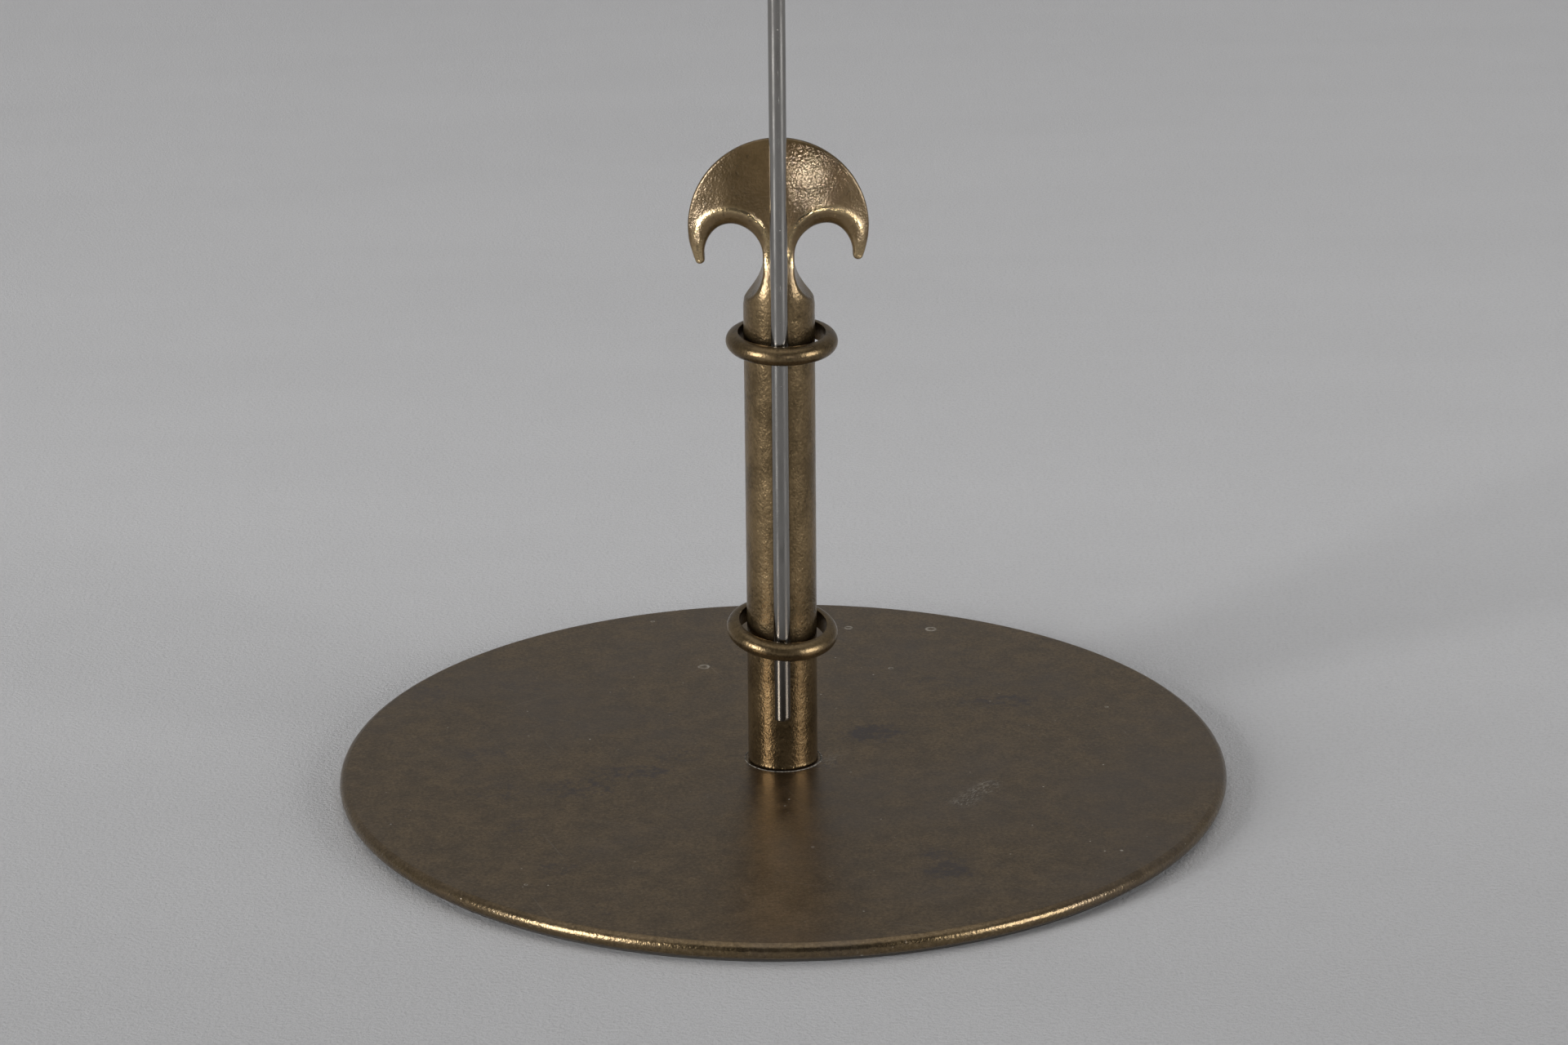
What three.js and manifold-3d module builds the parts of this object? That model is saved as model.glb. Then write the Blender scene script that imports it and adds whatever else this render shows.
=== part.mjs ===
// Floor lamp. A heavy round base carries a post that ends in a crescent, a thin rod stands in a shallow
// channel in the front of the post, held there by two tilted rings, and a small shaded lampholder sits on
// the rod's upper end. Millimetres, +Z up, origin on the floor under the middle of the base disc. The
// front of the lamp, where the rod stands, is the -Y side.
import * as THREE from 'three';
import { mergeVertices } from 'three/addons/utils/BufferGeometryUtils.js';
import Module from 'manifold-3d';

const wasm = await Module();
wasm.setup();

// Fits
const seatGap = 0.3; // between pieces that rest on or in each other
const runningGap = 0.15; // round the rod, in its channel, its rings and its socket

// Base disc, felt and bolt
const discDiameter = 320;
const discThickness = 6;
const rimBulge = 2.4; // middle of the rim, out past its two edges
const feltThickness = 1.5;
const feltInset = 4; // felt's edge in from the disc's edge
const feltHoleDiameter = 30; // way to the bolt's head
const boltDiameter = 8;
const boltHeadDiameter = 16;
const boltLength = 26;
const boltKeySize = 5; // across the flats of the key's socket
const boltKeyDepth = 2.5;

// Post, up to its shoulders
const postDiameter = 25;
const footFillet = 1.2; // bead round the post's foot
const shoulderRadius = 2.2; // round corner between the post's side and a scallop
const scallopRadius = 14;

// Crescent, seen from the front
const crescentHeight = 199.35; // its centre above the disc
const neckWidth = 11;
const neckLength = 4.5; // straight part of the neck
const eyeRadius = 10.1; // round opening under each half
const eyeDrop = 9.1; // eyes' centres below the crescent's centre
const prongWidth = 3.24; // thinnest, between an eye and the outer edge
const prongTipAngle = THREE.MathUtils.degToRad(5.5); // tips below the eyes' centres

// Crescent, seen from the side
const crescentThickness = 13; // at its middle
const crescentEdge = 1.8; // at its outer edge
const lipRadius = 6; // rolled lip over the eyes
const lipShiftX = 1.2; // lip's outer circle, outwards from the eye's centre
const lipShiftZ = 3; // and up from it

// Rod
const rodDiameter = 6;
const rodLength = 1200;
const rodChamfer = 0.75;
const rodFootHeight = 20.7; // rod's lower end above the disc
const channelDepth = 1.5; // rod's channel in the front of the post

// Jam rings, with their middles above the disc
const ringWall = 4.3;
const ringHeight = 6.7;
const ringTopFlat = 0.8;
const upperRing = {
  height: 158.6,
  tilt: THREE.MathUtils.degToRad(3.5), // front down
  roll: THREE.MathUtils.degToRad(0.8), // right side down
  shift: 0.85, // to the right
};
const lowerRing = {
  height: 50.6,
  tilt: THREE.MathUtils.degToRad(8.4),
  roll: THREE.MathUtils.degToRad(5.2),
  shift: 0.15,
};

// Rod socket
const socketDepth = 30; // length of rod that it holds
const socketFloor = 4; // solid between the rod and the nipple
const socketLowerDiameter = 11;
const socketUpperDiameter = 18;
const grubDiameter = 4;
const grubRecess = 0.4; // grub screw's end below the socket's side
const grubSlot = 0.8;

// Nipple and nut
const nippleDiameter = 10;
const nippleBore = 6.5;
const nippleSeat = 10; // length in the socket
const nippleStand = 8; // length above the floor of the cup
const nutWidth = 15; // across flats
const nutHeight = 4;

// Lampholder
const cupDiameter = 42;
const cupHeight = 26;
const cupWall = 1.2;
const cupCorner = 4;
const glandDiameter = 9;
const glandBore = 6.8;
const glandFlangeDiameter = 13;
const glandFlangeThickness = 2;
const glandNose = 7;
const switchBarDiameter = 4.6;
const switchTravel = 5;
const switchReach = 8; // how far the pushed end stands out of the cup
const coreDepth = 4; // core's lower boss in the cup
const coreFlange = 3;
const contactDiameter = 8;
const contactHeight = 3;
const shellWall = 0.8;
const shellHeight = 22;
const sleeveDiameter = 39;
const sleeveWall = 1.4;
const sleeveRise = 3; // sleeve's top above the screw shell
const shoulderDiameter = 47; // shade's seat on the sleeve
const shoulderHeight = 7; // its top above the core
const shoulderThickness = 2;
const shadeNutDiameter = 49;
const shadeNutHeight = 7;

// Bulb
const capDiameter = 26;
const capHeight = 26;
const capTipDiameter = 10;
const capTaper = 4;
const bulbDiameter = 60;
const bulbHeight = 78;
const bulbNeckInset = 0.4; // glass's neck in from the cap's rim
const glassWall = 0.8;

// Shade
const shadeBottomDiameter = 270;
const shadeTopDiameter = 150;
const shadeHeight = 190;
const shadeWall = 1.2;
const shadeDrop = 30; // shade's lower edge below its seat
const shadeWire = 3.2;
const shadeHem = 1.5; // wire rings in from the shade's edges
const carrierOverhang = 3; // carrier's flat ring past its seat
const carrierRingThickness = 2;
const carrierArmDiameter = 3.2;
const carrierArmCount = 3;

// Facets
const fineSteps = 60; // round the disc, the crescent and the shade
const roundSteps = 40; // round the post and its rings
const headSteps = 28; // round the lampholder
const smallSteps = 20;
const wireSteps = 6;
const arcSteps = 6;
const reach = 2; // how far a cutter runs past what it cuts

// Worked-out levels and radii
const discBottom = feltThickness + seatGap;
const discTop = discBottom + discThickness;
const postRadius = postDiameter / 2;
const rodRadius = rodDiameter / 2;
const rodOffset = postRadius - channelDepth + runningGap + rodRadius; // rod's axis in front of the post's
const rodBottom = discTop + rodFootHeight;
const rodTop = rodBottom + rodLength;

const bronze = new THREE.MeshStandardMaterial({ color: 0x6e5433, roughness: 0.38, metalness: 1 });
const darkBronze = new THREE.MeshStandardMaterial({ color: 0x51463b, roughness: 0.42, metalness: 1 });
const steel = new THREE.MeshStandardMaterial({ color: 0x8c8b88, roughness: 0.34, metalness: 1 });
const brass = new THREE.MeshStandardMaterial({ color: 0xa88a4e, roughness: 0.3, metalness: 1 });
const felt = new THREE.MeshStandardMaterial({ color: 0x1d1c1b, roughness: 0.95, metalness: 0 });
const ceramic = new THREE.MeshStandardMaterial({ color: 0xe8e4da, roughness: 0.35, metalness: 0 });
const blackPlastic = new THREE.MeshStandardMaterial({ color: 0x1a1918, roughness: 0.45, metalness: 0 });
const parchment = new THREE.MeshStandardMaterial({ color: 0xe3d6bb, roughness: 0.7, metalness: 0 });
const opalGlass = new THREE.MeshStandardMaterial({ color: 0xf3efe6, roughness: 0.2, metalness: 0 });

const lamp = new THREE.Group();
const head = new THREE.Group();
head.position.set(0, -rodOffset, rodTop);
lamp.add(head);

// Positions alone, with shared corners merged and the triangles that collapse on an axis left out
function welded(geometry) {
  geometry.deleteAttribute('normal');
  geometry.deleteAttribute('uv');
  const merged = mergeVertices(geometry);
  const corners = merged.index.array;
  const kept = [];
  for (let i = 0; i < corners.length; i += 3) {
    const [a, b, c] = corners.slice(i, i + 3);
    if (a !== b && b !== c && c !== a) {
      kept.push(a, b, c);
    }
  }
  merged.setIndex(kept);
  return merged;
}

function solidOf(geometry) {
  const { attributes, index } = welded(geometry);
  return new wasm.Manifold(new wasm.Mesh({
    numProp: 3,
    vertProperties: new Float32Array(attributes.position.array),
    triVerts: new Uint32Array(index.array),
  }));
}

function geometryOf(solid) {
  const { vertProperties, triVerts } = solid.getMesh();
  const geometry = new THREE.BufferGeometry();
  geometry.setAttribute('position', new THREE.BufferAttribute(vertProperties, 3));
  geometry.setIndex(new THREE.BufferAttribute(triVerts, 1));
  return geometry;
}

function addPiece(group, name, geometry, material) {
  const mesh = new THREE.Mesh(geometry, material);
  mesh.name = name;
  group.add(mesh);
  return mesh;
}

// Points along an arc, from one angle to another
function arc(x, y, radius, from, to, steps = arcSteps) {
  return Array.from({ length: steps + 1 }, (_, i) => {
    const angle = THREE.MathUtils.lerp(from, to, i / steps);
    return [x + radius * Math.cos(angle), y + radius * Math.sin(angle)];
  });
}

// A profile of [radius, height] pairs turned round Z
function turned(profile, steps = roundSteps) {
  const points = profile.map(([r, z]) => new THREE.Vector2(r, z));
  return welded(new THREE.LatheGeometry(points, steps).rotateX(Math.PI / 2));
}

// The same for a ring, whose profile closes on itself
function turnedRing(profile, steps = roundSteps) {
  return turned([...profile, profile[0]], steps);
}

function tube(innerRadius, outerRadius, bottom, top, steps = roundSteps) {
  return turnedRing([[innerRadius, bottom], [outerRadius, bottom], [outerRadius, top], [innerRadius, top]], steps);
}

function rod(radius, bottom, top, steps = smallSteps) {
  return turned([[0, bottom], [radius, bottom], [radius, top], [0, top]], steps);
}

// An outline of [x, z] pairs made into a slab across the lamp, as deep to the front as to the back
function slab(outline, halfDepth) {
  const shape = new THREE.Shape(outline.map(([x, z]) => new THREE.Vector2(x, z)));
  const geometry = new THREE.ExtrudeGeometry(shape, { depth: 2 * halfDepth, bevelEnabled: false });
  return geometry.rotateX(Math.PI / 2).translate(0, halfDepth, 0);
}

function hexagon(width, bottom, height) {
  const points = arc(0, 0, width / Math.sqrt(3), 0, 2 * Math.PI, 6).slice(0, 6);
  const shape = new THREE.Shape(points.map(([x, y]) => new THREE.Vector2(x, y)));
  return new THREE.ExtrudeGeometry(shape, { depth: height, bevelEnabled: false }).translate(0, 0, bottom);
}

// Base disc, with a barrelled rim and a countersunk hole
function makeDisc() {
  const radius = discDiameter / 2;
  const half = discThickness / 2;
  const rimRadius = (half ** 2 + rimBulge ** 2) / (2 * rimBulge);
  const rimAngle = Math.asin(half / rimRadius);
  const hole = boltDiameter / 2 + seatGap;
  const sink = (boltHeadDiameter - boltDiameter) / 2;
  const outline = [
    [hole, discBottom + sink],
    [hole + sink, discBottom],
    ...arc(radius - rimRadius, discBottom + half, rimRadius, -rimAngle, rimAngle),
    [hole, discTop],
  ];
  addPiece(lamp, 'base_disc', turnedRing(outline, fineSteps), darkBronze);
}

function makeFelt() {
  const outer = discDiameter / 2 - feltInset;
  addPiece(lamp, 'felt_pad', tube(feltHoleDiameter / 2, outer, 0, feltThickness), felt);
}

// Countersunk bolt, its head flush with the disc's underside and its shank up in the post
function makeBolt() {
  const headRadius = boltHeadDiameter / 2;
  const radius = boltDiameter / 2;
  const bottom = discBottom;
  const blank = turned([
    [0, bottom],
    [headRadius, bottom],
    [radius, bottom + headRadius - radius],
    [radius, bottom + boltLength],
    [0, bottom + boltLength],
  ], smallSteps);
  const keySocket = hexagon(boltKeySize, bottom - reach, boltKeyDepth + reach);
  addPiece(lamp, 'post_bolt', geometryOf(solidOf(blank).subtract(solidOf(keySocket))), steel);
}

// Post and crescent, one casting: a turned post and neck joined to a lens, with the two sides cut away
function makePost() {
  const bottom = discTop + seatGap;
  const centreZ = discTop + crescentHeight;
  const eyeX = neckWidth / 2 + eyeRadius;
  const eyeZ = centreZ - eyeDrop;
  const eyeReach = Math.hypot(eyeX, eyeDrop);
  const crescentRadius = eyeReach + eyeRadius + prongWidth;

  // Scallop between neck and shoulder, and the shoulder's round corner against it
  const scallopX = neckWidth / 2 + scallopRadius;
  const scallopZ = eyeZ - neckLength;
  const cornerX = postRadius - shoulderRadius + runningGap;
  const cornerReach = scallopRadius + shoulderRadius;
  const cornerRise = Math.sqrt(cornerReach ** 2 - (scallopX - cornerX) ** 2);
  const cornerZ = scallopZ - cornerRise;
  const cornerAngle = Math.atan2(cornerRise, scallopX - cornerX);

  // Prong's round tip, touching both the eye and the outer edge
  const tipDirection = new THREE.Vector2(Math.cos(prongTipAngle), -Math.sin(prongTipAngle));
  const along = eyeX * tipDirection.x - eyeDrop * tipDirection.y;
  const tipRadius = (crescentRadius ** 2 - eyeReach ** 2 - eyeRadius ** 2 - 2 * eyeRadius * along)
    / (2 * (along + eyeRadius + crescentRadius));
  const tipX = eyeX + (eyeRadius + tipRadius) * tipDirection.x;
  const tipZ = eyeZ + (eyeRadius + tipRadius) * tipDirection.y;
  const tipEnd = Math.atan2(tipZ - centreZ, tipX);
  const edgeX = crescentRadius * Math.cos(tipEnd);
  const edgeZ = centreZ + crescentRadius * Math.sin(tipEnd);
  const farX = crescentRadius + shoulderRadius;
  const wayOut = farX - edgeX;

  // What is cut away on the right of the neck
  const opening = [
    [farX, cornerZ],
    [farX, edgeZ - wayOut / Math.tan(tipEnd)],
    ...arc(tipX, tipZ, tipRadius, 2 * Math.PI + tipEnd, Math.PI - prongTipAngle),
    ...arc(eyeX, eyeZ, eyeRadius, -prongTipAngle, Math.PI, 2 * arcSteps).slice(1),
    ...arc(scallopX, scallopZ, scallopRadius, Math.PI, Math.PI + cornerAngle),
    ...arc(cornerX, cornerZ, shoulderRadius, cornerAngle, 0).slice(1),
  ];
  const openingRight = solidOf(slab(opening, postRadius + reach));
  const openingLeft = openingRight.mirror([1, 0, 0]);

  // Turned post, drawn in above the shoulders to the crescent's thickness
  const neckBottom = cornerZ + shoulderRadius;
  const drawnIn = Array.from({ length: arcSteps + 1 }, (_, i) => {
    const rise = i / arcSteps;
    const width = (1 + Math.cos(Math.PI * rise)) / 2;
    const halfDepth = THREE.MathUtils.lerp(crescentThickness / 2 - seatGap, postRadius, width);
    return [halfDepth, THREE.MathUtils.lerp(neckBottom, centreZ, rise)];
  });
  const column = solidOf(turned([
    [0, bottom],
    ...arc(postRadius + footFillet, bottom + footFillet, footFillet, -Math.PI / 2, -Math.PI, arcSteps / 2),
    ...drawnIn,
    [0, centreZ],
  ]));

  // Lens: thick in the middle, thin at its outer edge, and ending below at the post's shoulders
  const sag = (crescentThickness - crescentEdge) / 2;
  const faceRadius = (crescentRadius ** 2 + sag ** 2) / (2 * sag);
  const faceAngle = Math.asin(crescentRadius / faceRadius);
  const faceCentre = crescentThickness / 2 - faceRadius;
  const front = arc(0, faceCentre, faceRadius, Math.PI / 2, Math.PI / 2 - faceAngle);
  const back = front.map(([r, depth]) => [r, -depth]);
  const lensBlank = turned([...back, ...front.reverse()], fineSteps).rotateX(Math.PI / 2);
  const belowNeck = slab([[-farX, bottom], [farX, bottom], [farX, neckBottom], [-farX, neckBottom]], postRadius);
  const lens = solidOf(lensBlank.translate(0, 0, centreZ)).subtract(solidOf(belowNeck));

  // Rolled lip over each eye: a cutter that flares from the eye's own edge to a wider circle at both faces
  const lipOuter = eyeRadius - lipShiftZ + lipRadius;
  const flare = arc(lipOuter, 0, lipRadius, 1.5 * Math.PI, 0.5 * Math.PI, 2 * arcSteps);
  const lipDepth = postRadius + reach;
  const lipProfile = [[0, -lipDepth], [lipOuter, -lipDepth], ...flare, [lipOuter, lipDepth], [0, lipDepth]];
  const lipBlank = turned(lipProfile).rotateX(Math.PI / 2);
  const lipRight = solidOf(lipBlank.translate(eyeX + lipShiftX, 0, eyeZ + lipShiftZ));
  const lipLeft = lipRight.mirror([1, 0, 0]);

  // Rod's channel and the bolt's hole
  const channelBottom = rodBottom - seatGap;
  const channel = solidOf(rod(rodRadius + runningGap, channelBottom, centreZ + crescentRadius));
  const boltTop = discBottom + boltLength + seatGap;
  const boltHole = solidOf(rod(boltDiameter / 2 + seatGap, bottom - reach, boltTop));

  const casting = column
    .add(lens)
    .subtract(openingRight)
    .subtract(openingLeft)
    .subtract(lipRight)
    .subtract(lipLeft)
    .subtract(channel.translate([0, -rodOffset, 0]))
    .subtract(boltHole);
  addPiece(lamp, 'post', geometryOf(casting), bronze);
}

// Jam ring: flat inside, round outside, just wide enough to bear on the post's back and the rod's front
// when it is tilted
function makeRing(name, { height, tilt, roll, shift }) {
  const rodFront = rodOffset + rodRadius;
  const stack = postRadius + rodFront + 2 * runningGap;
  const middle = (rodFront - postRadius) / 2;
  const slack = 2 * (Math.hypot(middle, shift) - middle);
  const bore = (stack + ringHeight * Math.sin(tilt)) / Math.cos(tilt) + slack;
  const inner = bore / 2;
  const half = ringHeight / 2;
  const outside = arc(0, 0, 1, -Math.PI / 2, Math.PI / 2).map(([x, y]) => [
    inner + ringTopFlat + x * (ringWall - ringTopFlat),
    y * half,
  ]);
  const ring = addPiece(lamp, name, turnedRing([[inner, -half], ...outside, [inner, half]]), bronze);
  ring.position.set(shift, -middle, discTop + height);
  ring.rotation.set(tilt, roll, 0);
}

function makeRod() {
  const end = rodRadius - rodChamfer;
  const profile = [
    [0, rodBottom],
    [end, rodBottom],
    [rodRadius, rodBottom + rodChamfer],
    [rodRadius, rodTop - rodChamfer],
    [end, rodTop],
    [0, rodTop],
  ];
  addPiece(lamp, 'rod', turned(profile, smallSteps), steel).position.y = -rodOffset;
}

// Levels in the head, from the rod's upper end upwards
const socketTop = seatGap + socketFloor + nippleSeat;
const nippleBottom = 2 * seatGap + socketFloor;
const cupBottom = socketTop + seatGap;
const cupFloor = cupBottom + cupWall;
const nippleTop = cupFloor + nippleStand;
const cupTop = cupBottom + cupHeight;
const coreSeat = cupTop + seatGap;
const coreTop = coreSeat + coreFlange;
const switchLevel = (nippleTop + coreSeat - coreDepth) / 2;
const shadeSeat = coreTop + shoulderHeight;
const capBottom = coreTop + contactHeight + 2 * seatGap;
const shadeBottom = shadeSeat - shadeDrop;
const shadeTop = shadeBottom + shadeHeight;
const cupRadius = cupDiameter / 2;
const shellInner = capDiameter / 2 + seatGap;
const sleeveRadius = sleeveDiameter / 2;

// Turned socket on the rod's end, with its clamping screw at the back
function makeSocket() {
  const bore = rodRadius + runningGap;
  const lower = socketLowerDiameter / 2;
  const upper = socketUpperDiameter / 2;
  const nippleHole = nippleDiameter / 2 + seatGap;
  const swell = Array.from({ length: arcSteps + 1 }, (_, i) => {
    const rise = i / arcSteps;
    const width = (1 - Math.cos(Math.PI * rise)) / 2;
    return [THREE.MathUtils.lerp(lower, upper, width), THREE.MathUtils.lerp(0, socketTop, rise)];
  });
  const body = solidOf(turned([
    [0, seatGap],
    [bore, seatGap],
    [bore, -socketDepth],
    [lower, -socketDepth],
    ...swell,
    [nippleHole, socketTop],
    [nippleHole, seatGap + socketFloor],
    [0, seatGap + socketFloor],
  ], headSteps));
  const grubLevel = -socketDepth / 2;
  const grubRadius = grubDiameter / 2;
  const acrossBack = (geometry) => geometry.rotateX(-Math.PI / 2).translate(0, 0, grubLevel);
  const hole = acrossBack(rod(grubRadius + seatGap, rodRadius, lower + reach, smallSteps));
  addPiece(head, 'rod_socket', geometryOf(body.subtract(solidOf(hole))), bronze);

  const grubEnd = lower - grubRecess;
  const grub = solidOf(rod(grubRadius, rodRadius + seatGap, grubEnd, smallSteps));
  const slot = new THREE.BoxGeometry(grubDiameter + reach, grubSlot, grubSlot).translate(0, 0, grubEnd);
  addPiece(head, 'socket_grub_screw', acrossBack(geometryOf(grub.subtract(solidOf(slot)))), steel);
}

function makeNipple() {
  const radius = nippleDiameter / 2;
  addPiece(head, 'socket_nipple', tube(nippleBore / 2, radius, nippleBottom, nippleTop, smallSteps), brass);
  const nutBottom = cupFloor + seatGap;
  const blank = solidOf(hexagon(nutWidth, nutBottom, nutHeight));
  const hole = solidOf(rod(radius + seatGap, nutBottom - reach, nutBottom + nutHeight + reach));
  addPiece(head, 'nipple_nut', geometryOf(blank.subtract(hole)), steel);
}

// Lower shell of the lampholder, with a hole on each side for the switch bar and one at the back
function makeCup() {
  const inner = cupRadius - cupWall;
  const nippleHole = nippleDiameter / 2 + seatGap;
  const blank = solidOf(turnedRing([
    [nippleHole, cupBottom],
    ...arc(cupRadius - cupCorner, cupBottom + cupCorner, cupCorner, -Math.PI / 2, 0, arcSteps / 2),
    [cupRadius, cupTop],
    [inner, cupTop],
    ...arc(cupRadius - cupCorner, cupBottom + cupCorner, cupCorner - cupWall, 0, -Math.PI / 2, arcSteps / 2),
    [nippleHole, cupFloor],
  ], headSteps));
  const barHole = rod(switchBarDiameter / 2 + seatGap, -cupDiameter, cupDiameter, smallSteps);
  const glandHole = rod(glandDiameter / 2 + seatGap, 0, cupDiameter, smallSteps);
  const cup = blank
    .subtract(solidOf(barHole.rotateY(Math.PI / 2).translate(0, 0, switchLevel)))
    .subtract(solidOf(glandHole.rotateX(-Math.PI / 2).translate(0, 0, switchLevel)));
  addPiece(head, 'lampholder_cup', geometryOf(cup), brass);
}

// Bush that the lead would come out of
function makeGland() {
  const bore = glandBore / 2;
  const radius = glandDiameter / 2;
  const flange = glandFlangeDiameter / 2;
  const wall = cupRadius + seatGap;
  const profile = [
    [bore, cupRadius - 2 * cupWall],
    [radius, cupRadius - 2 * cupWall],
    [radius, wall],
    [flange, wall],
    [flange, wall + glandFlangeThickness],
    [radius, wall + glandFlangeThickness],
    [radius, wall + glandNose],
    [bore, wall + glandNose],
  ];
  const gland = addPiece(head, 'cord_gland', turnedRing(profile, smallSteps), blackPlastic);
  gland.rotation.x = -Math.PI / 2;
  gland.position.z = switchLevel;
}

// Switch bar, pushed through the cup from side to side: it rests with its longer end to the left
function makeSwitchBar() {
  const radius = switchBarDiameter / 2;
  const half = cupRadius + switchReach - switchTravel / 2;
  const crown = radius / 2;
  const profile = [
    [0, -half],
    [radius - crown, -half],
    [radius, -half + crown],
    [radius, half - crown],
    [radius - crown, half],
    [0, half],
  ];
  const bar = addPiece(head, 'switch_bar', turned(profile, smallSteps), blackPlastic);
  bar.rotation.y = Math.PI / 2;
  bar.position.set(-switchTravel / 2, 0, switchLevel);
}

function makeLampholder() {
  const boss = cupRadius - cupWall - seatGap;
  const core = turned([
    [0, coreSeat - coreDepth],
    [boss, coreSeat - coreDepth],
    [boss, coreSeat],
    [cupRadius, coreSeat],
    [cupRadius, coreTop],
    [0, coreTop],
  ], headSteps);
  addPiece(head, 'lampholder_core', core, ceramic);

  const contactRadius = contactDiameter / 2;
  const contactBottom = coreTop + seatGap;
  const contact = turned([
    [0, contactBottom],
    [contactRadius, contactBottom],
    [contactRadius, contactBottom + contactHeight / 2],
    [contactRadius / 2, contactBottom + contactHeight],
    [0, contactBottom + contactHeight],
  ], smallSteps);
  addPiece(head, 'centre_contact', contact, brass);

  const seat = coreTop + seatGap;
  const shellTop = seat + shellHeight;
  addPiece(head, 'screw_shell', tube(shellInner, shellInner + shellWall, seat, shellTop, headSteps), brass);

  const sleeveInner = sleeveRadius - sleeveWall;
  const sleeveTop = shellTop + sleeveRise;
  const shoulder = shoulderDiameter / 2;
  const sleeve = turnedRing([
    [sleeveInner, seat],
    [sleeveRadius, seat],
    [sleeveRadius, shadeSeat - shoulderThickness],
    [shoulder, shadeSeat - shoulderThickness],
    [shoulder, shadeSeat],
    [sleeveRadius, shadeSeat],
    [sleeveRadius, sleeveTop],
    [shellInner + shellWall, sleeveTop],
    [shellInner + shellWall, shellTop + seatGap],
    [sleeveInner, shellTop + seatGap],
  ], headSteps);
  addPiece(head, 'lampholder_sleeve', sleeve, brass);

  const nutBottom = shadeSeat + carrierRingThickness + 2 * seatGap;
  const nutTop = nutBottom + shadeNutHeight;
  const nut = tube(sleeveRadius + seatGap, shadeNutDiameter / 2, nutBottom, nutTop, headSteps);
  addPiece(head, 'shade_nut', nut, brass);
}

function makeBulb() {
  const capRadius = capDiameter / 2;
  const tip = capTipDiameter / 2;
  const capTop = capBottom + capHeight;
  const cap = turned([
    [0, capBottom],
    [tip, capBottom],
    [capRadius, capBottom + capTaper],
    [capRadius, capTop],
    [0, capTop],
  ], headSteps);
  addPiece(head, 'bulb_cap', cap, brass);

  // Glass: a neck that swells into a ball, as a shell that is open at the neck
  const radius = bulbDiameter / 2;
  const neck = capRadius - bulbNeckInset;
  const bottom = capTop + seatGap;
  const centre = bottom + bulbHeight - radius;
  const meet = -Math.acos(Math.min(1, (neck + radius) / (2 * radius)));
  const outline = (wall) => {
    const start = [neck - wall, bottom];
    const ball = arc(0, centre, radius - wall, meet, Math.PI / 2);
    const curve = new THREE.CubicBezierCurve(
      new THREE.Vector2(...start),
      new THREE.Vector2(start[0], THREE.MathUtils.lerp(bottom, centre, 1 / 3)),
      new THREE.Vector2(ball[0][0] + (ball[0][0] - ball[1][0]), ball[0][1] + (ball[0][1] - ball[1][1])),
      new THREE.Vector2(...ball[0]),
    );
    return [...curve.getPoints(arcSteps / 2).map(({ x, y }) => [x, y]), ...ball.slice(1)];
  };
  const glass = [...outline(0), ...outline(glassWall).reverse()];
  addPiece(head, 'bulb_glass', turnedRing(glass, headSteps), opalGlass);
}

// Radius of the shade's outside at a level
function shadeRadius(level) {
  return THREE.MathUtils.mapLinear(level, shadeBottom, shadeTop, shadeBottomDiameter / 2, shadeTopDiameter / 2);
}

function wireRing(level) {
  const wire = shadeWire / 2;
  const radius = shadeRadius(level + wire) - shadeWall - seatGap - wire;
  return { radius, geometry: new THREE.TorusGeometry(radius, wire, wireSteps, fineSteps).translate(0, 0, level) };
}

function makeShade() {
  const bottomRadius = shadeRadius(shadeBottom);
  const topRadius = shadeRadius(shadeTop);
  const wall = [
    [bottomRadius - shadeWall, shadeBottom],
    [bottomRadius, shadeBottom],
    [topRadius, shadeTop],
    [topRadius - shadeWall, shadeTop],
  ];
  addPiece(head, 'shade', turnedRing(wall, fineSteps), parchment);

  const hem = shadeHem + shadeWire / 2;
  addPiece(head, 'shade_top_ring', welded(wireRing(shadeTop - hem).geometry), brass);

  // Carrier: a flat ring round the sleeve, and arms out to the shade's lower wire
  const lowerLevel = shadeBottom + hem;
  const lower = wireRing(lowerLevel);
  const inner = sleeveRadius + seatGap;
  const plateBottom = shadeSeat + seatGap;
  const plateTop = plateBottom + carrierRingThickness;
  const seatRadius = shoulderDiameter / 2;
  let carrier = solidOf(tube(inner, seatRadius + carrierOverhang, plateBottom, plateTop, headSteps));
  carrier = carrier.add(solidOf(lower.geometry));
  const from = new THREE.Vector3(seatRadius + carrierOverhang / 2, 0, (plateBottom + plateTop) / 2);
  const to = new THREE.Vector3(lower.radius, 0, lowerLevel);
  const direction = to.clone().sub(from);
  const turn = new THREE.Quaternion().setFromUnitVectors(new THREE.Vector3(0, 0, 1), direction.clone().normalize());
  for (let i = 0; i < carrierArmCount; i += 1) {
    const arm = rod(carrierArmDiameter / 2, 0, direction.length(), wireSteps);
    arm.applyQuaternion(turn).translate(from.x, from.y, from.z);
    arm.rotateZ(Math.PI / 2 + (2 * Math.PI * i) / carrierArmCount);
    carrier = carrier.add(solidOf(arm));
  }
  addPiece(head, 'shade_carrier', geometryOf(carrier), brass);
}

makeDisc();
makeFelt();
makeBolt();
makePost();
makeRing('upper_ring', upperRing);
makeRing('lower_ring', lowerRing);
makeRod();
makeSocket();
makeNipple();
makeCup();
makeGland();
makeSwitchBar();
makeLampholder();
makeBulb();
makeShade();

export default lamp;
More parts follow.
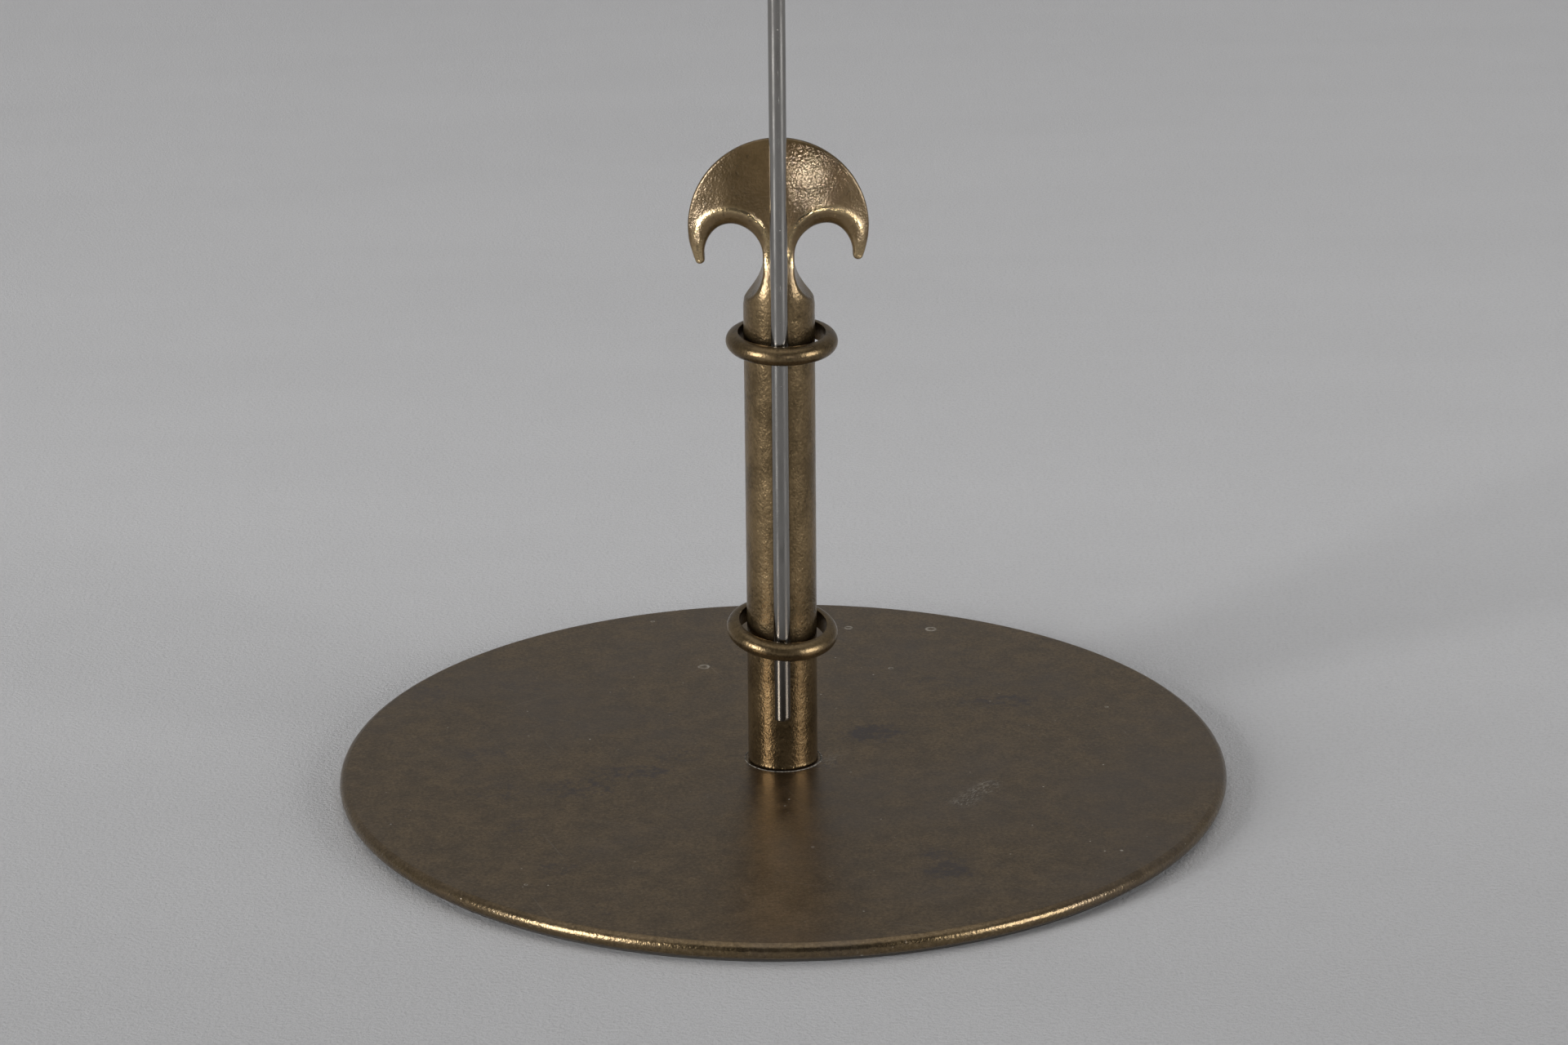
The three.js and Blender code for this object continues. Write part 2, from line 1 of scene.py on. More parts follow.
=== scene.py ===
import math
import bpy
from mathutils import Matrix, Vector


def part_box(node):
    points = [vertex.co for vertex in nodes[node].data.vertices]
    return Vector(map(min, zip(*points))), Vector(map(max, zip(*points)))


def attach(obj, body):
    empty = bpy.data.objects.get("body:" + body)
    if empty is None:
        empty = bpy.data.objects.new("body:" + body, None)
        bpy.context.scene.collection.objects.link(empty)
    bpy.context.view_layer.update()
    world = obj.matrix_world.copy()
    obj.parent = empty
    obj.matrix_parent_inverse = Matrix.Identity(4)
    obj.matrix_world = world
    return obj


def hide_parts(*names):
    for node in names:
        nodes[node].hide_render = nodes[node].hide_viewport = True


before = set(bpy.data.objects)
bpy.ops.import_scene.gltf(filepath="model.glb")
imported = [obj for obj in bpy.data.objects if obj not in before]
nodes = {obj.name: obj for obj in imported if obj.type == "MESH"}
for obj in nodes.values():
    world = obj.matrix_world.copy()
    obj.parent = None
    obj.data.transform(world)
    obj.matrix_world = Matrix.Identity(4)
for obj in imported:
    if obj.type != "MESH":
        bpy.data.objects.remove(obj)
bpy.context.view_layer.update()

from types import SimpleNamespace

import bmesh
import bpy
import numpy as np
from mathutils import Matrix, Vector, noise

mm = 0.001
print("lamp loaded,", len(nodes), "solids")


# Shader helpers
def feed(tree, socket, value):
    if isinstance(value, bpy.types.NodeSocket):
        tree.links.new(value, socket)
    else:
        socket.default_value = value


def put(tree, kind, inputs, **settings):
    node = tree.nodes.new("ShaderNode" + kind)
    for key, value in settings.items():
        setattr(node, key, value)
    for key, value in inputs.items():
        feed(tree, node.inputs[key], value)
    return node


def calc(tree, operation, first, second):
    return put(tree, "Math", {0: first, 1: second}, operation=operation).outputs[0]


def times(tree, first, second):
    return calc(tree, "MULTIPLY", first, second)


def plus(tree, first, second):
    return calc(tree, "ADD", first, second)


def most(tree, *values):        # the largest of several values
    largest = values[0]
    for value in values[1:]:
        largest = calc(tree, "MAXIMUM", largest, value)
    return largest


def blend(tree, share, first, second):
    return put(tree, "Mix", {0: share, 2: first, 3: second}).outputs[0]


def mixColor(tree, share, first, second):
    return put(tree, "Mix", {0: share, 6: first, 7: second}, data_type="RGBA").outputs[2]


def ramp(tree, value, low, high):        # straight rise from low to high
    return put(tree, "MapRange", {"Value": value, "From Min": low, "From Max": high}).outputs[0]


def step(tree, value, low, high, toLow=0.0, toHigh=1.0):        # smooth rise from low to high
    inputs = {"Value": value, "From Min": low, "From Max": high, "To Min": toLow, "To Max": toHigh}
    return put(tree, "MapRange", inputs, interpolation_type="SMOOTHSTEP").outputs[0]


def places(tree):
    return put(tree, "TexCoord", {}).outputs["Object"]


def axisOf(tree, place, axis):
    return put(tree, "SeparateXYZ", {0: place}).outputs[axis]


def paintOf(tree, label):        # a value painted on the mesh
    return put(tree, "Attribute", {}, attribute_name=label).outputs["Fac"]


def clouds(tree, place, scale, detail=2.0, rough=0.5):
    inputs = {"Vector": place, "Scale": scale, "Detail": detail, "Roughness": rough}
    return put(tree, "TexNoise", inputs).outputs[0]


def stretched(tree, place, factors):
    return put(tree, "VectorMath", {0: place, 1: factors}, operation="MULTIPLY").outputs[0]


def bump(tree, height, depth):        # depth in millimetres
    return put(tree, "Bump", {"Height": height, "Distance": depth * mm, "Strength": 1.0}).outputs["Normal"]


def newGroup(name, outputs, **inputs):
    tree = bpy.data.node_groups.new(name, "ShaderNodeTree")
    for label, value in inputs.items():
        kind = "NodeSocketFloat" if isinstance(value, float) else "NodeSocketColor"
        tree.interface.new_socket(label, in_out="INPUT", socket_type=kind).default_value = value
    for label in outputs:
        kind = "NodeSocketColor" if label == "Color" else "NodeSocketFloat"
        tree.interface.new_socket(label, in_out="OUTPUT", socket_type=kind)
    return tree, tree.nodes.new("NodeGroupInput").outputs, tree.nodes.new("NodeGroupOutput").inputs


def useGroup(tree, group, **values):
    node = tree.nodes.new("ShaderNodeGroup")
    node.node_tree = group
    for label, value in values.items():
        feed(tree, node.inputs[label], value)
    return node.outputs


def speckMask(tree, scale, share, size):
    return useGroup(tree, specks, Scale=scale, Share=share, Size=size)["Mask"]


def scratchMask(tree, scale, turn, length, start):
    return useGroup(tree, scratches, Scale=scale, Turn=turn, Length=length, Start=start)["Mask"]


def rubMask(tree, start, full, scale):
    return useGroup(tree, edgeRub, Start=start, Full=full, Scale=scale)["Mask"]


def newFinish(name, **values):
    material = bpy.data.materials.new(name)
    material.use_nodes = True
    tree = material.node_tree
    shader = tree.nodes["Principled BSDF"]
    for label, value in values.items():
        shader.inputs[label].default_value = value
    return material, tree, shader


def dress(tree, shader, color, rough, normal):
    feed(tree, shader.inputs["Base Color"], color)
    feed(tree, shader.inputs["Roughness"], rough)
    feed(tree, shader.inputs["Normal"], normal)


def rgb(color):
    return (*color, 1.0)


def tint(color, factor):
    return rgb([v * factor for v in color])


# Effects that several finishes share
def makeCastGrain():        # leathery skin of a sand casting, and the pits in it
    tree, given, out = newGroup("castGrain", ["Height", "Pits"], Scale=1000.0, Pitting=0.5, Rise=1.0)
    factors = put(tree, "CombineXYZ", {"X": 1.0, "Y": 1.0, "Z": given["Rise"]}).outputs[0]
    place = stretched(tree, places(tree), factors)
    cellInputs = {"Vector": place, "Scale": given["Scale"], "Smoothness": 0.6}
    cells = put(tree, "TexVoronoi", cellInputs, feature="SMOOTH_F1").outputs["Distance"]
    soft = clouds(tree, place, times(tree, given["Scale"], 0.6), 3.0)
    pitted = clouds(tree, place, times(tree, given["Scale"], 0.35), 2.0)
    pits = times(tree, step(tree, pitted, 0.6, 0.72), given["Pitting"])
    height = plus(tree, times(tree, cells, 0.6), times(tree, soft, 1.5))
    feed(tree, out["Height"], calc(tree, "SUBTRACT", height, times(tree, pits, 0.6)))
    feed(tree, out["Pits"], pits)
    return tree


def makePatina():        # cloudy brown tones, lighter where they are rubbed
    tones = {"Deep": rgb((0.1, 0.07, 0.03)), "Warm": rgb((0.2, 0.13, 0.05)), "Rubbed": rgb((0.4, 0.28, 0.12))}
    tree, given, out = newGroup("patina", ["Color", "Dull"], **tones, Scale=60.0, Rub=0.0)
    place = places(tree)
    wide = clouds(tree, place, given["Scale"], 4.0, 0.6)
    fine = clouds(tree, place, times(tree, given["Scale"], 14.0), 3.0, 0.6)
    both = plus(tree, times(tree, wide, 0.6), times(tree, fine, 0.4))
    brown = mixColor(tree, step(tree, both, 0.38, 0.62), given["Deep"], given["Warm"])
    feed(tree, out["Color"], mixColor(tree, given["Rub"], brown, given["Rubbed"]))
    feed(tree, out["Dull"], wide)
    return tree


def makeEdgeRub():        # edges that hands and cloths have worn, broken up a little
    tree, given, out = newGroup("edgeRub", ["Mask"], Start=0.52, Full=0.6, Scale=300.0)
    rub = ramp(tree, put(tree, "NewGeometry", {}).outputs["Pointiness"], given["Start"], given["Full"])
    gaps = step(tree, clouds(tree, places(tree), given["Scale"], 3.0), 0.3, 0.6, 0.45, 1.0)
    feed(tree, out["Mask"], times(tree, rub, gaps))
    return tree


def makeSpecks():        # specks of dust and dried polish
    tree, given, out = newGroup("specks", ["Mask"], Scale=250.0, Share=0.3, Size=0.08)
    cells = put(tree, "TexVoronoi", {"Vector": places(tree), "Scale": given["Scale"]}).outputs
    chance = put(tree, "SeparateColor", {"Color": cells["Color"]}).outputs
    size = times(tree, given["Size"], plus(tree, chance[1], 0.4))
    near = ramp(tree, cells["Distance"], size, times(tree, size, 0.5))
    feed(tree, out["Mask"], times(tree, near, calc(tree, "LESS_THAN", chance[0], given["Share"])))
    return tree


def makeScratches():        # fine straight scratches, all turned one way
    tree, given, out = newGroup("scratches", ["Mask"], Scale=1200.0, Turn=0.0, Length=0.03, Start=0.68)
    spin = {"Vector": places(tree), "Angle": given["Turn"]}
    place = put(tree, "VectorRotate", spin, rotation_type="Z_AXIS").outputs[0]
    factors = put(tree, "CombineXYZ", {"X": given["Length"], "Y": 1.0, "Z": 0.4}).outputs[0]
    streaks = clouds(tree, stretched(tree, place, factors), given["Scale"], 1.0)
    feed(tree, out["Mask"], ramp(tree, streaks, given["Start"], plus(tree, given["Start"], 0.08)))
    return tree


def makeTurning():        # fine rings that a lathe tool leaves round the head's axis
    tree, given, out = newGroup("turning", ["Height", "Dull"], Pitch=3000.0)
    place = places(tree)
    feed(tree, out["Height"], clouds(tree, stretched(tree, place, (0.02, 0.02, 1.0)), given["Pitch"], 2.0))
    feed(tree, out["Dull"], clouds(tree, place, 90.0, 4.0, 0.6))
    return tree


castGrain = makeCastGrain()
patina = makePatina()
edgeRub = makeEdgeRub()
specks = makeSpecks()
scratches = makeScratches()
turning = makeTurning()
print("shared effects ready")


# Mesh helpers, all in millimetres
def boxOf(node):
    low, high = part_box(node)
    return low / mm, high / mm


def middleOf(node):
    return [(a + b) / 2 for a, b in zip(*boxOf(node))]


def addObject(name, data):
    added = bpy.data.objects.new(name, data)
    bpy.context.scene.collection.objects.link(added)
    return added


def smooth(piece, sharp=40):
    mesh = piece.data
    shell = bmesh.new()
    shell.from_mesh(mesh)
    bmesh.ops.recalc_face_normals(shell, faces=shell.faces)
    shell.to_mesh(mesh)
    shell.free()
    mesh.polygons.foreach_set("use_smooth", [True] * len(mesh.polygons))
    mesh.set_sharp_from_angle(angle=math.radians(sharp))
    mesh.update()
    return piece


def newPiece(name, points, faces, material, sharp=40):
    mesh = bpy.data.meshes.new(name)
    mesh.from_pydata((np.asarray(points, float) * mm).tolist(), [], faces)
    mesh.materials.append(material)
    return smooth(addObject(name, mesh), sharp)


def arc(r, z, radius, start, stop, steps=8):
    angles = [math.radians(start + (stop - start) * i / steps) for i in range(steps + 1)]
    return [(r + radius * math.cos(a), z + radius * math.sin(a)) for a in angles]


def rounded(corners, steps=4):        # an outline of (radius, height, corner radius)
    points = []
    for i, (r, z, radius) in enumerate(corners):
        if radius == 0:
            points.append((r, z))
            continue
        here = Vector((r, z))
        before = (Vector(corners[i - 1][:2]) - here).normalized()
        after = (Vector(corners[(i + 1) % len(corners)][:2]) - here).normalized()
        half = before.angle(after) / 2
        centre = here + (before + after).normalized() * radius / math.sin(half)
        start = here + before * radius / math.tan(half) - centre
        stop = here + after * radius / math.tan(half) - centre
        for k in range(steps + 1):
            points.append(tuple(centre + start.lerp(stop, k / steps).normalized() * radius))
    return points


def ribs(radius, bottom, top, pitch, depth, perTurn=8):        # a thread, as rings
    count = max(1, round((top - bottom) / pitch)) * perTurn
    points = []
    for i in range(count + 1):
        sink = depth / 2 * (1 - math.cos(2 * math.pi * i / perTurn))
        points.append((radius - sink, bottom + (top - bottom) * i / count))
    return points


def turned(name, profile, steps, material, centre=(0, 0), sharp=40):
    angles = [2 * math.pi * i / steps for i in range(steps)]
    points, rows = [], []
    for r, z in profile:
        if r < 1e-6:
            rows.append([len(points)] * steps)
            points.append((*centre, z))
        else:
            rows.append(list(range(len(points), len(points) + steps)))
            points += [(centre[0] + r * math.cos(a), centre[1] + r * math.sin(a), z) for a in angles]
    nextRows = rows[1:] + (rows[:1] if profile[0][0] > 1e-6 else [])
    faces = []
    for lower, upper in zip(rows, nextRows):
        for i in range(steps):
            j = (i + 1) % steps
            corners = list(dict.fromkeys((lower[i], lower[j], upper[j], upper[i])))
            if len(corners) > 2:
                faces.append(corners)
    return newPiece(name, points, faces, material, sharp)


def readPoints(piece, what):
    values = np.empty(len(piece.data.vertices) * 3)
    piece.data.vertices.foreach_get(what, values)
    return values.reshape(-1, 3)


def writePoints(piece, points):
    piece.data.vertices.foreach_set("co", points.ravel())
    piece.data.update()


def paint(piece, label, values):        # a value for each point, which a finish can read
    piece.data.attributes.new(label, "FLOAT", "POINT").data.foreach_set("value", values)


def uneven(piece, amount, size, seed):        # gentle waves, as a hand-finished surface has
    points, normals = readPoints(piece, "co"), readPoints(piece, "normal")
    shift = Vector((seed * 7.3, seed * 3.1, seed * 5.7))
    waves = np.array([noise.noise(Vector(p) + shift) for p in points / (size * mm)])
    writePoints(piece, points + normals * (waves * amount * mm)[:, None])


def applied(piece):        # the mesh with its modifiers worked in
    bpy.context.view_layer.update()
    seen = piece.evaluated_get(bpy.context.evaluated_depsgraph_get())
    mesh = bpy.data.meshes.new_from_object(seen)
    piece.modifiers.clear()
    piece.data = mesh
    return piece


def cutAway(piece, *cutters):
    for cutter in cutters:
        cut = piece.modifiers.new("cut", "BOOLEAN")
        cut.operation = "DIFFERENCE"
        cut.solver = "EXACT"
        cut.object = cutter
        applied(piece)
        bpy.data.objects.remove(cutter)
    return smooth(piece)


def joined(name, pieces):        # one piece of several shells
    shell = bmesh.new()
    for piece in pieces:
        shell.from_mesh(piece.data)
    mesh = bpy.data.meshes.new(name)
    shell.to_mesh(mesh)
    shell.free()
    mesh.materials.append(pieces[0].data.materials[0])
    for piece in pieces:
        bpy.data.objects.remove(piece)
    return smooth(addObject(name, mesh))


def wire(name, path, radius, sides, material, ring=False):        # round wire along a path
    line = bpy.data.curves.new(name, "CURVE")
    line.dimensions = "3D"
    line.bevel_depth = radius * mm
    line.bevel_resolution = sides // 4
    line.use_fill_caps = True
    spline = line.splines.new("POLY")
    spline.points.add(len(path) - 1)
    for point, place in zip(spline.points, path):
        point.co = (*(Vector(place) * mm), 1)
    spline.use_cyclic_u = ring
    curve = addObject(name, line)
    bpy.context.view_layer.update()
    mesh = bpy.data.meshes.new_from_object(curve.evaluated_get(bpy.context.evaluated_depsgraph_get()))
    bpy.data.objects.remove(curve)
    mesh.materials.clear()
    mesh.materials.append(material)
    return smooth(addObject(name, mesh))


def laidAcross(piece, middle, quarters, axis):        # an upright piece, turned to lie through a point
    place = Matrix.Translation(Vector(middle) * mm)
    piece.data.transform(place @ Matrix.Rotation(quarters * math.pi / 2, 4, axis))
    return piece


def settle(piece, body, slot, *stands):        # rides on a body, stands for nodes
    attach(piece, body)
    if stands:
        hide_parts(*stands)
    return piece


# Camera, where the photograph was taken from
shot = {
    "lens": 96.587, "sensor": 36.0,
    "place": (-4.589, -1409.602, 595.085),
    "down": 19.424, "turn": 0.2306, "roll": -0.502,        # degrees
}


def makeCamera():
    camera = addObject("camera", bpy.data.cameras.new("camera"))
    camera.data.sensor_width = shot["sensor"]
    camera.data.lens = shot["lens"]
    camera.data.clip_end = 100
    bpy.context.scene.view_settings.view_transform = "Standard"
    down, turn, roll = (math.radians(shot[key]) for key in ("down", "turn", "roll"))
    ahead = Vector((math.sin(turn) * math.cos(down), math.cos(turn) * math.cos(down), -math.sin(down)))
    level = ahead.cross(Vector((0, 0, 1))).normalized()
    above = level.cross(ahead)
    right = level * math.cos(roll) + above * math.sin(roll)
    up = above * math.cos(roll) - level * math.sin(roll)
    axes = Matrix((right, up, -ahead)).transposed()
    camera.matrix_world = Matrix.Translation(Vector(shot["place"]) * mm) @ axes.to_4x4()
    bpy.context.scene.camera = camera


makeCamera()


# Studio: two soft boxes, a snooted lamp on the crescent, a room that is dark behind the camera, white paper
# with painted shade towards the front and painted light towards the back
studio = {
    "lights": [        # name, turn, distance, level, width, height, power, spread, level aimed at
        ("leftBox", -53, 4.0, 1.03, 1.2, 2.0, 165.0, 180, 0.2),
        ("rightBox", 61, 4.0, 1.03, 1.9, 2.0, 105.0, 180, 0.2),
        ("snootLamp", 14, 1.7, 0.5, 0.12, 0.12, 0.0092, 5, 0.225),
    ],
    "roomFront": 0.05, "roomBack": 0.3, "roomTop": 0.85,
    "floorSize": 14.0, "floorTone": (0.613, 0.61, 0.618), "paintedShadeNear": 0.78, "paintedLightFar": 1.02,
}


def lightAt(name, turn, distance, level, width, height, power, spread, aim):
    light = bpy.data.lights.new(name, "AREA")
    light.shape = "RECTANGLE"
    light.size = width
    light.size_y = height
    light.energy = power
    light.spread = math.radians(spread)
    lamp = addObject(name, light)
    angle = math.radians(turn)
    lamp.location = (math.sin(angle) * distance, -math.cos(angle) * distance, level)
    lamp.rotation_euler = (Vector((0, 0, aim)) - lamp.location).to_track_quat("-Z", "Y").to_euler()
    lamp.visible_camera = False
    lamp.visible_diffuse = spread > 90        # the snooted lamp only glints


def makeStudio():
    for light in studio["lights"]:
        lightAt(*light)

    world = bpy.data.worlds.new("room")
    bpy.context.scene.world = world
    world.use_nodes = True
    tree = world.node_tree
    way = put(tree, "TexCoord", {}).outputs["Generated"]
    around = step(tree, axisOf(tree, way, "Y"), -0.8, 0.5, studio["roomFront"], studio["roomBack"])
    room = blend(tree, step(tree, axisOf(tree, way, "Z"), 0.78, 0.93), around, studio["roomTop"])
    feed(tree, tree.nodes["Background"].inputs["Strength"], room)
    feed(tree, tree.nodes["Background"].inputs["Color"], (1, 1, 1, 1))

    paper, tree, shader = newFinish("floorPaper", Roughness=0.9)
    place = places(tree)
    tone = studio["floorTone"]
    depth = axisOf(tree, place, "Y")
    # painted shade and light: the floor is darker towards the front and a little lighter at the back, for how
    # the light falls off
    color = mixColor(tree, step(tree, depth, -0.3, 0.35), tint(tone, studio["paintedShadeNear"]), rgb(tone))
    color = mixColor(tree, step(tree, depth, 0.35, 1.5), color, tint(tone, studio["paintedLightFar"]))
    pulp = clouds(tree, place, 700.0, 4.0, 0.7)
    creases = clouds(tree, stretched(tree, place, (0.35, 1.0, 1.0)), 9.0, 4.0, 0.6)
    dim = step(tree, pulp, 0.4, 0.75, 1.02, 0.9)
    dim = times(tree, dim, step(tree, creases, 0.3, 0.7, 0.985, 1.015))
    feed(tree, shader.inputs["Base Color"], stretched(tree, color, dim))
    feed(tree, shader.inputs["Normal"], bump(tree, pulp, 0.6))
    half = studio["floorSize"] / 2 / mm
    corners = [(-half, -half, 0), (half, -half, 0), (half, half, 0), (-half, half, 0)]
    newPiece("floor", corners, [(0, 1, 2, 3)], paper)


makeStudio()
print("camera and studio ready")


# Bronze of the post, the rings and the rod socket
bronze = {
    "deep": (0.13, 0.09, 0.045), "warm": (0.225, 0.158, 0.081), "rubbed": (0.52, 0.395, 0.22), "pit": 0.3,
    "metal": 0.9, "gloss": 0.7, "rubbedRoughness": 0.24,
    "castDeep": (0.108, 0.071, 0.031), "castWarm": (0.145, 0.095, 0.042),
    "castRoughness": 0.23, "castMetal": 0.5, "castStart": 62, "castFull": 40,        # below the post's top
    "shaftRise": 0.75, "shaftGrain": 1.3,
    "finishes": [        # name, grain, its depth, pitting, clouds, shade, roughness, on the post
        ("postBronze", 1500.0, 0.07, 0.45, 60.0, 1.0, 0.28, True),
        ("ringBronze", 1500.0, 0.05, 0.5, 90.0, 0.85, 0.29, False),
        ("socketBronze", 1500.0, 0.03, 0.3, 90.0, 1.0, 0.3, False),
    ],
}


def makeBronze(name, grain, depth, pitting, cloud, shade, roughness, onPost):
    material, tree, shader = newFinish(name)
    shader.inputs["Specular IOR Level"].default_value = bronze["gloss"]
    skin = useGroup(tree, castGrain, Scale=grain, Pitting=pitting)
    deep, warm = (tint(bronze[key], shade) for key in ("deep", "warm"))
    metal, height = bronze["metal"], skin["Height"]
    if onPost:        # rubbed where it is painted so, and the crescent has kept a browner skin than the shaft
        place = places(tree)
        gaps = step(tree, clouds(tree, place, 700.0, 3.0), 0.35, 0.6, 0.45, 1.0)
        rub = times(tree, paintOf(tree, "rub"), gaps)
        start, full = ((boxOf("post")[1].z - bronze[key]) * mm for key in ("castStart", "castFull"))
        cast = step(tree, axisOf(tree, place, "Z"), start, full)
        deep = mixColor(tree, cast, deep, rgb(bronze["castDeep"]))
        warm = mixColor(tree, cast, warm, rgb(bronze["castWarm"]))
        metal = blend(tree, cast, metal, bronze["castMetal"])
        roughness = blend(tree, cast, roughness, bronze["castRoughness"])
        drawn = useGroup(tree, castGrain, Scale=grain, Pitting=pitting, Rise=bronze["shaftRise"])["Height"]
        height = blend(tree, cast, times(tree, drawn, bronze["shaftGrain"]), height)
    else:
        rub = rubMask(tree, 0.53, 0.62, 350.0)
    tone = useGroup(tree, patina, Deep=deep, Warm=warm, Rubbed=rgb(bronze["rubbed"]), Scale=cloud, Rub=rub)
    color = mixColor(tree, skin["Pits"], tone["Color"], tint(bronze["deep"], bronze["pit"]))
    rough = plus(tree, roughness, step(tree, tone["Dull"], 0.3, 0.7, -0.03, 0.05))
    rough = blend(tree, rub, rough, bronze["rubbedRoughness"])
    dress(tree, shader, color, rough, bump(tree, height, depth))
    feed(tree, shader.inputs["Metallic"], step(tree, rub, 0.0, 0.8, metal, 1.0))
    return material


postBronze, ringBronze, socketBronze = (makeBronze(*finish) for finish in bronze["finishes"])


# Base disc: a turned plate with a soft rim, stained, specked and scuffed, with painted shadow along its
# lowest edge
disc = {
    "rimBulge": 2.4, "edgeRadius": 0.35, "ringStep": 2.0, "steps": 384,
    "waves": 0.03, "waveSize": 70,
    "roughness": 0.34, "rimRoughness": -0.07, "rimGrain": 4.0, "grainDepth": 0.016,
    "deep": (0.16, 0.114, 0.066), "warm": (0.235, 0.169, 0.098), "rim": (0.185, 0.132, 0.069),
    # underside: painted shadow colour for the lowest part of the rim
    "grainDark": (0.06, 0.047, 0.034), "grainPale": (0.4, 0.32, 0.22), "stain": (0.072, 0.063, 0.07),
    "haze": (0.152, 0.127, 0.108), "pale": (0.42, 0.39, 0.34), "underside": (0.012, 0.01, 0.008),
    "stains": [        # x, y, half width, half depth, strength
        (33, 22, 11, 9, 0.95), (82, 52, 15, 8, 0.7), (58, 72, 20, 8, 0.45), (56, -100, 8, 8, 0.95),
        (52, -89, 6, 6, 0.8), (-49, -13, 9, 6, 0.85), (-72, -26, 16, 11, 0.6), (-38, 4, 12, 10, 0.5),
        (-47, 39, 9, 7, 0.5), (-109, 6, 9, 7, 0.55), (-133, 66, 9, 12, 0.55), (-99, 74, 10, 14, 0.45),
        (-101, -29, 13, 9, 0.5), (-95, -61, 9, 9, 0.4), (-78, -95, 8, 9, 0.45), (-60, -128, 8, 9, 0.4),
        (15, -7, 6, 6, 0.7), (-61, -12, 10, 6, 0.7), (108, 25, 14, 10, 0.3), (95, -62, 12, 14, 0.35),
    ],
    "drops": [        # x, y, radius: dried pale drops
        (-29.7, 90.7, 2.6), (26.5, 131.1, 2.0), (58.7, 128.7, 2.6), (-50.4, 140.2, 1.0), (41.8, 87.2, 1.2),
        (120.9, 45.5, 0.9), (-87.6, -109.6, 0.8), (9.7, -80.6, 0.6),
    ],
    "scuff": (68, -35, 15, 4, 57),        # x, y, half length, half width, turn
    "smears": [(17, -3, 3, 5, 0.8), (20, 3, 3, 4, 0.6)],        # old polish beside the post
}


def paintMarks(piece, label, marks):        # a soft-edged value on the mesh, worn into spots by the finish
    places = readPoints(piece, "co") / mm
    values = np.zeros(len(places))
    for x, y, halfX, halfY, strength in marks:
        reach = np.hypot((places[:, 0] - x) / halfX, (places[:, 1] - y) / halfY)
        values = np.maximum(values, strength * np.clip(1.6 - reach, 0, 1))
    paint(piece, label, values)


def dropMask(tree, place):        # faint rings, where drops dried
    rings = []
    level = boxOf("base_disc")[1].z
    for x, y, radius in disc["drops"]:
        apart = put(tree, "VectorMath", {0: place, 1: (x * mm, y * mm, level * mm)}, operation="DISTANCE")
        away = apart.outputs["Value"]
        inside = step(tree, away, radius * mm, radius * mm * 0.75)
        rings.append(times(tree, inside, step(tree, away, radius * mm * 0.3, radius * mm * 0.7, 0.25, 1.0)))
    return most(tree, *rings)


def paleMarks(tree, place, scuffed, ragged):        # the scuff, dried drops, dust and fine scratches
    turn = -math.radians(disc["scuff"][4])
    strokes = scratchMask(tree, 2300.0, turn, 0.2, 0.56)
    strokes = most(tree, strokes, scratchMask(tree, 1700.0, turn + 0.6, 0.15, 0.6))
    strokes = times(tree, times(tree, strokes, scuffed), 0.5)
    drops = times(tree, dropMask(tree, place), step(tree, ragged, 0.35, 0.6, 0.3, 0.8))
    dust = most(tree, speckMask(tree, 210.0, 0.45, 0.08), speckMask(tree, 70.0, 0.12, 0.04))
    dust = times(tree, dust, step(tree, clouds(tree, place, 14.0, 3.0), 0.4, 0.6, 0.2, 0.8))
    lines = [scratchMask(tree, 1000.0, turn, 0.014, 0.74) for turn in (0.35, 1.2, 2.5)]
    return most(tree, strokes, drops, dust, times(tree, most(tree, *lines), 0.22))


def makeDiscFinish():
    material, tree, shader = newFinish("discBronze", Metallic=1.0)
    place = places(tree)
    stain, scuffed, side = (paintOf(tree, label) for label in ("stain", "scuff", "side"))
    skin = useGroup(tree, castGrain, Scale=1500.0, Pitting=0.4)
    worn = times(tree, side, step(tree, clouds(tree, place, 600.0, 3.0), 0.3, 0.65, 0.55, 1.0))
    deep, warm, rim = (rgb(disc[key]) for key in ("deep", "warm", "rim"))
    tone = useGroup(tree, patina, Deep=deep, Warm=warm, Rubbed=rim, Scale=110.0, Rub=worn)
    grain = clouds(tree, place, 800.0, 4.0, 0.85)
    color = mixColor(tree, step(tree, grain, 0.32, 0.56, 0.6, 0.0), tone["Color"], rgb(disc["grainDark"]))
    color = mixColor(tree, step(tree, grain, 0.54, 0.72, 0.0, 0.45), color, rgb(disc["grainPale"]))
    ragged = clouds(tree, place, 330.0, 4.0, 0.7)
    spots = step(tree, plus(tree, times(tree, stain, 0.42), ragged), 0.66, 0.96)
    color = mixColor(tree, times(tree, spots, 0.7), color, rgb(disc["stain"]))
    haze = step(tree, clouds(tree, place, 11.0, 5.0, 0.65), 0.42, 0.72, 0.0, 0.5)
    color = mixColor(tree, haze, color, rgb(disc["haze"]))
    pale = paleMarks(tree, place, scuffed, ragged)
    color = mixColor(tree, pale, color, rgb(disc["pale"]))
    low = boxOf("base_disc")[0].z
    level = axisOf(tree, place, "Z")
    under = step(tree, level, (low + 0.9) * mm, (low + 0.2) * mm)        # painted shadow: the lowest part of the rim darkened to near black, where the shade under the disc falls
    color = mixColor(tree, under, color, rgb(disc["underside"]))
    rough = step(tree, tone["Dull"], 0.3, 0.7, disc["roughness"] - 0.03, disc["roughness"] + 0.05)
    for mask, change in ((pale, 0.3), (under, 0.5), (side, disc["rimRoughness"])):
        rough = plus(tree, rough, times(tree, mask, change))
    coarser = plus(tree, times(tree, side, disc["rimGrain"]), 1.0)
    height = times(tree, plus(tree, skin["Height"], pale), coarser)
    dress(tree, shader, color, rough, bump(tree, height, disc["grainDepth"]))
    feed(tree, shader.inputs["Metallic"], step(tree, pale, 0.1, 0.9, 1.0, 0.4))
    return material


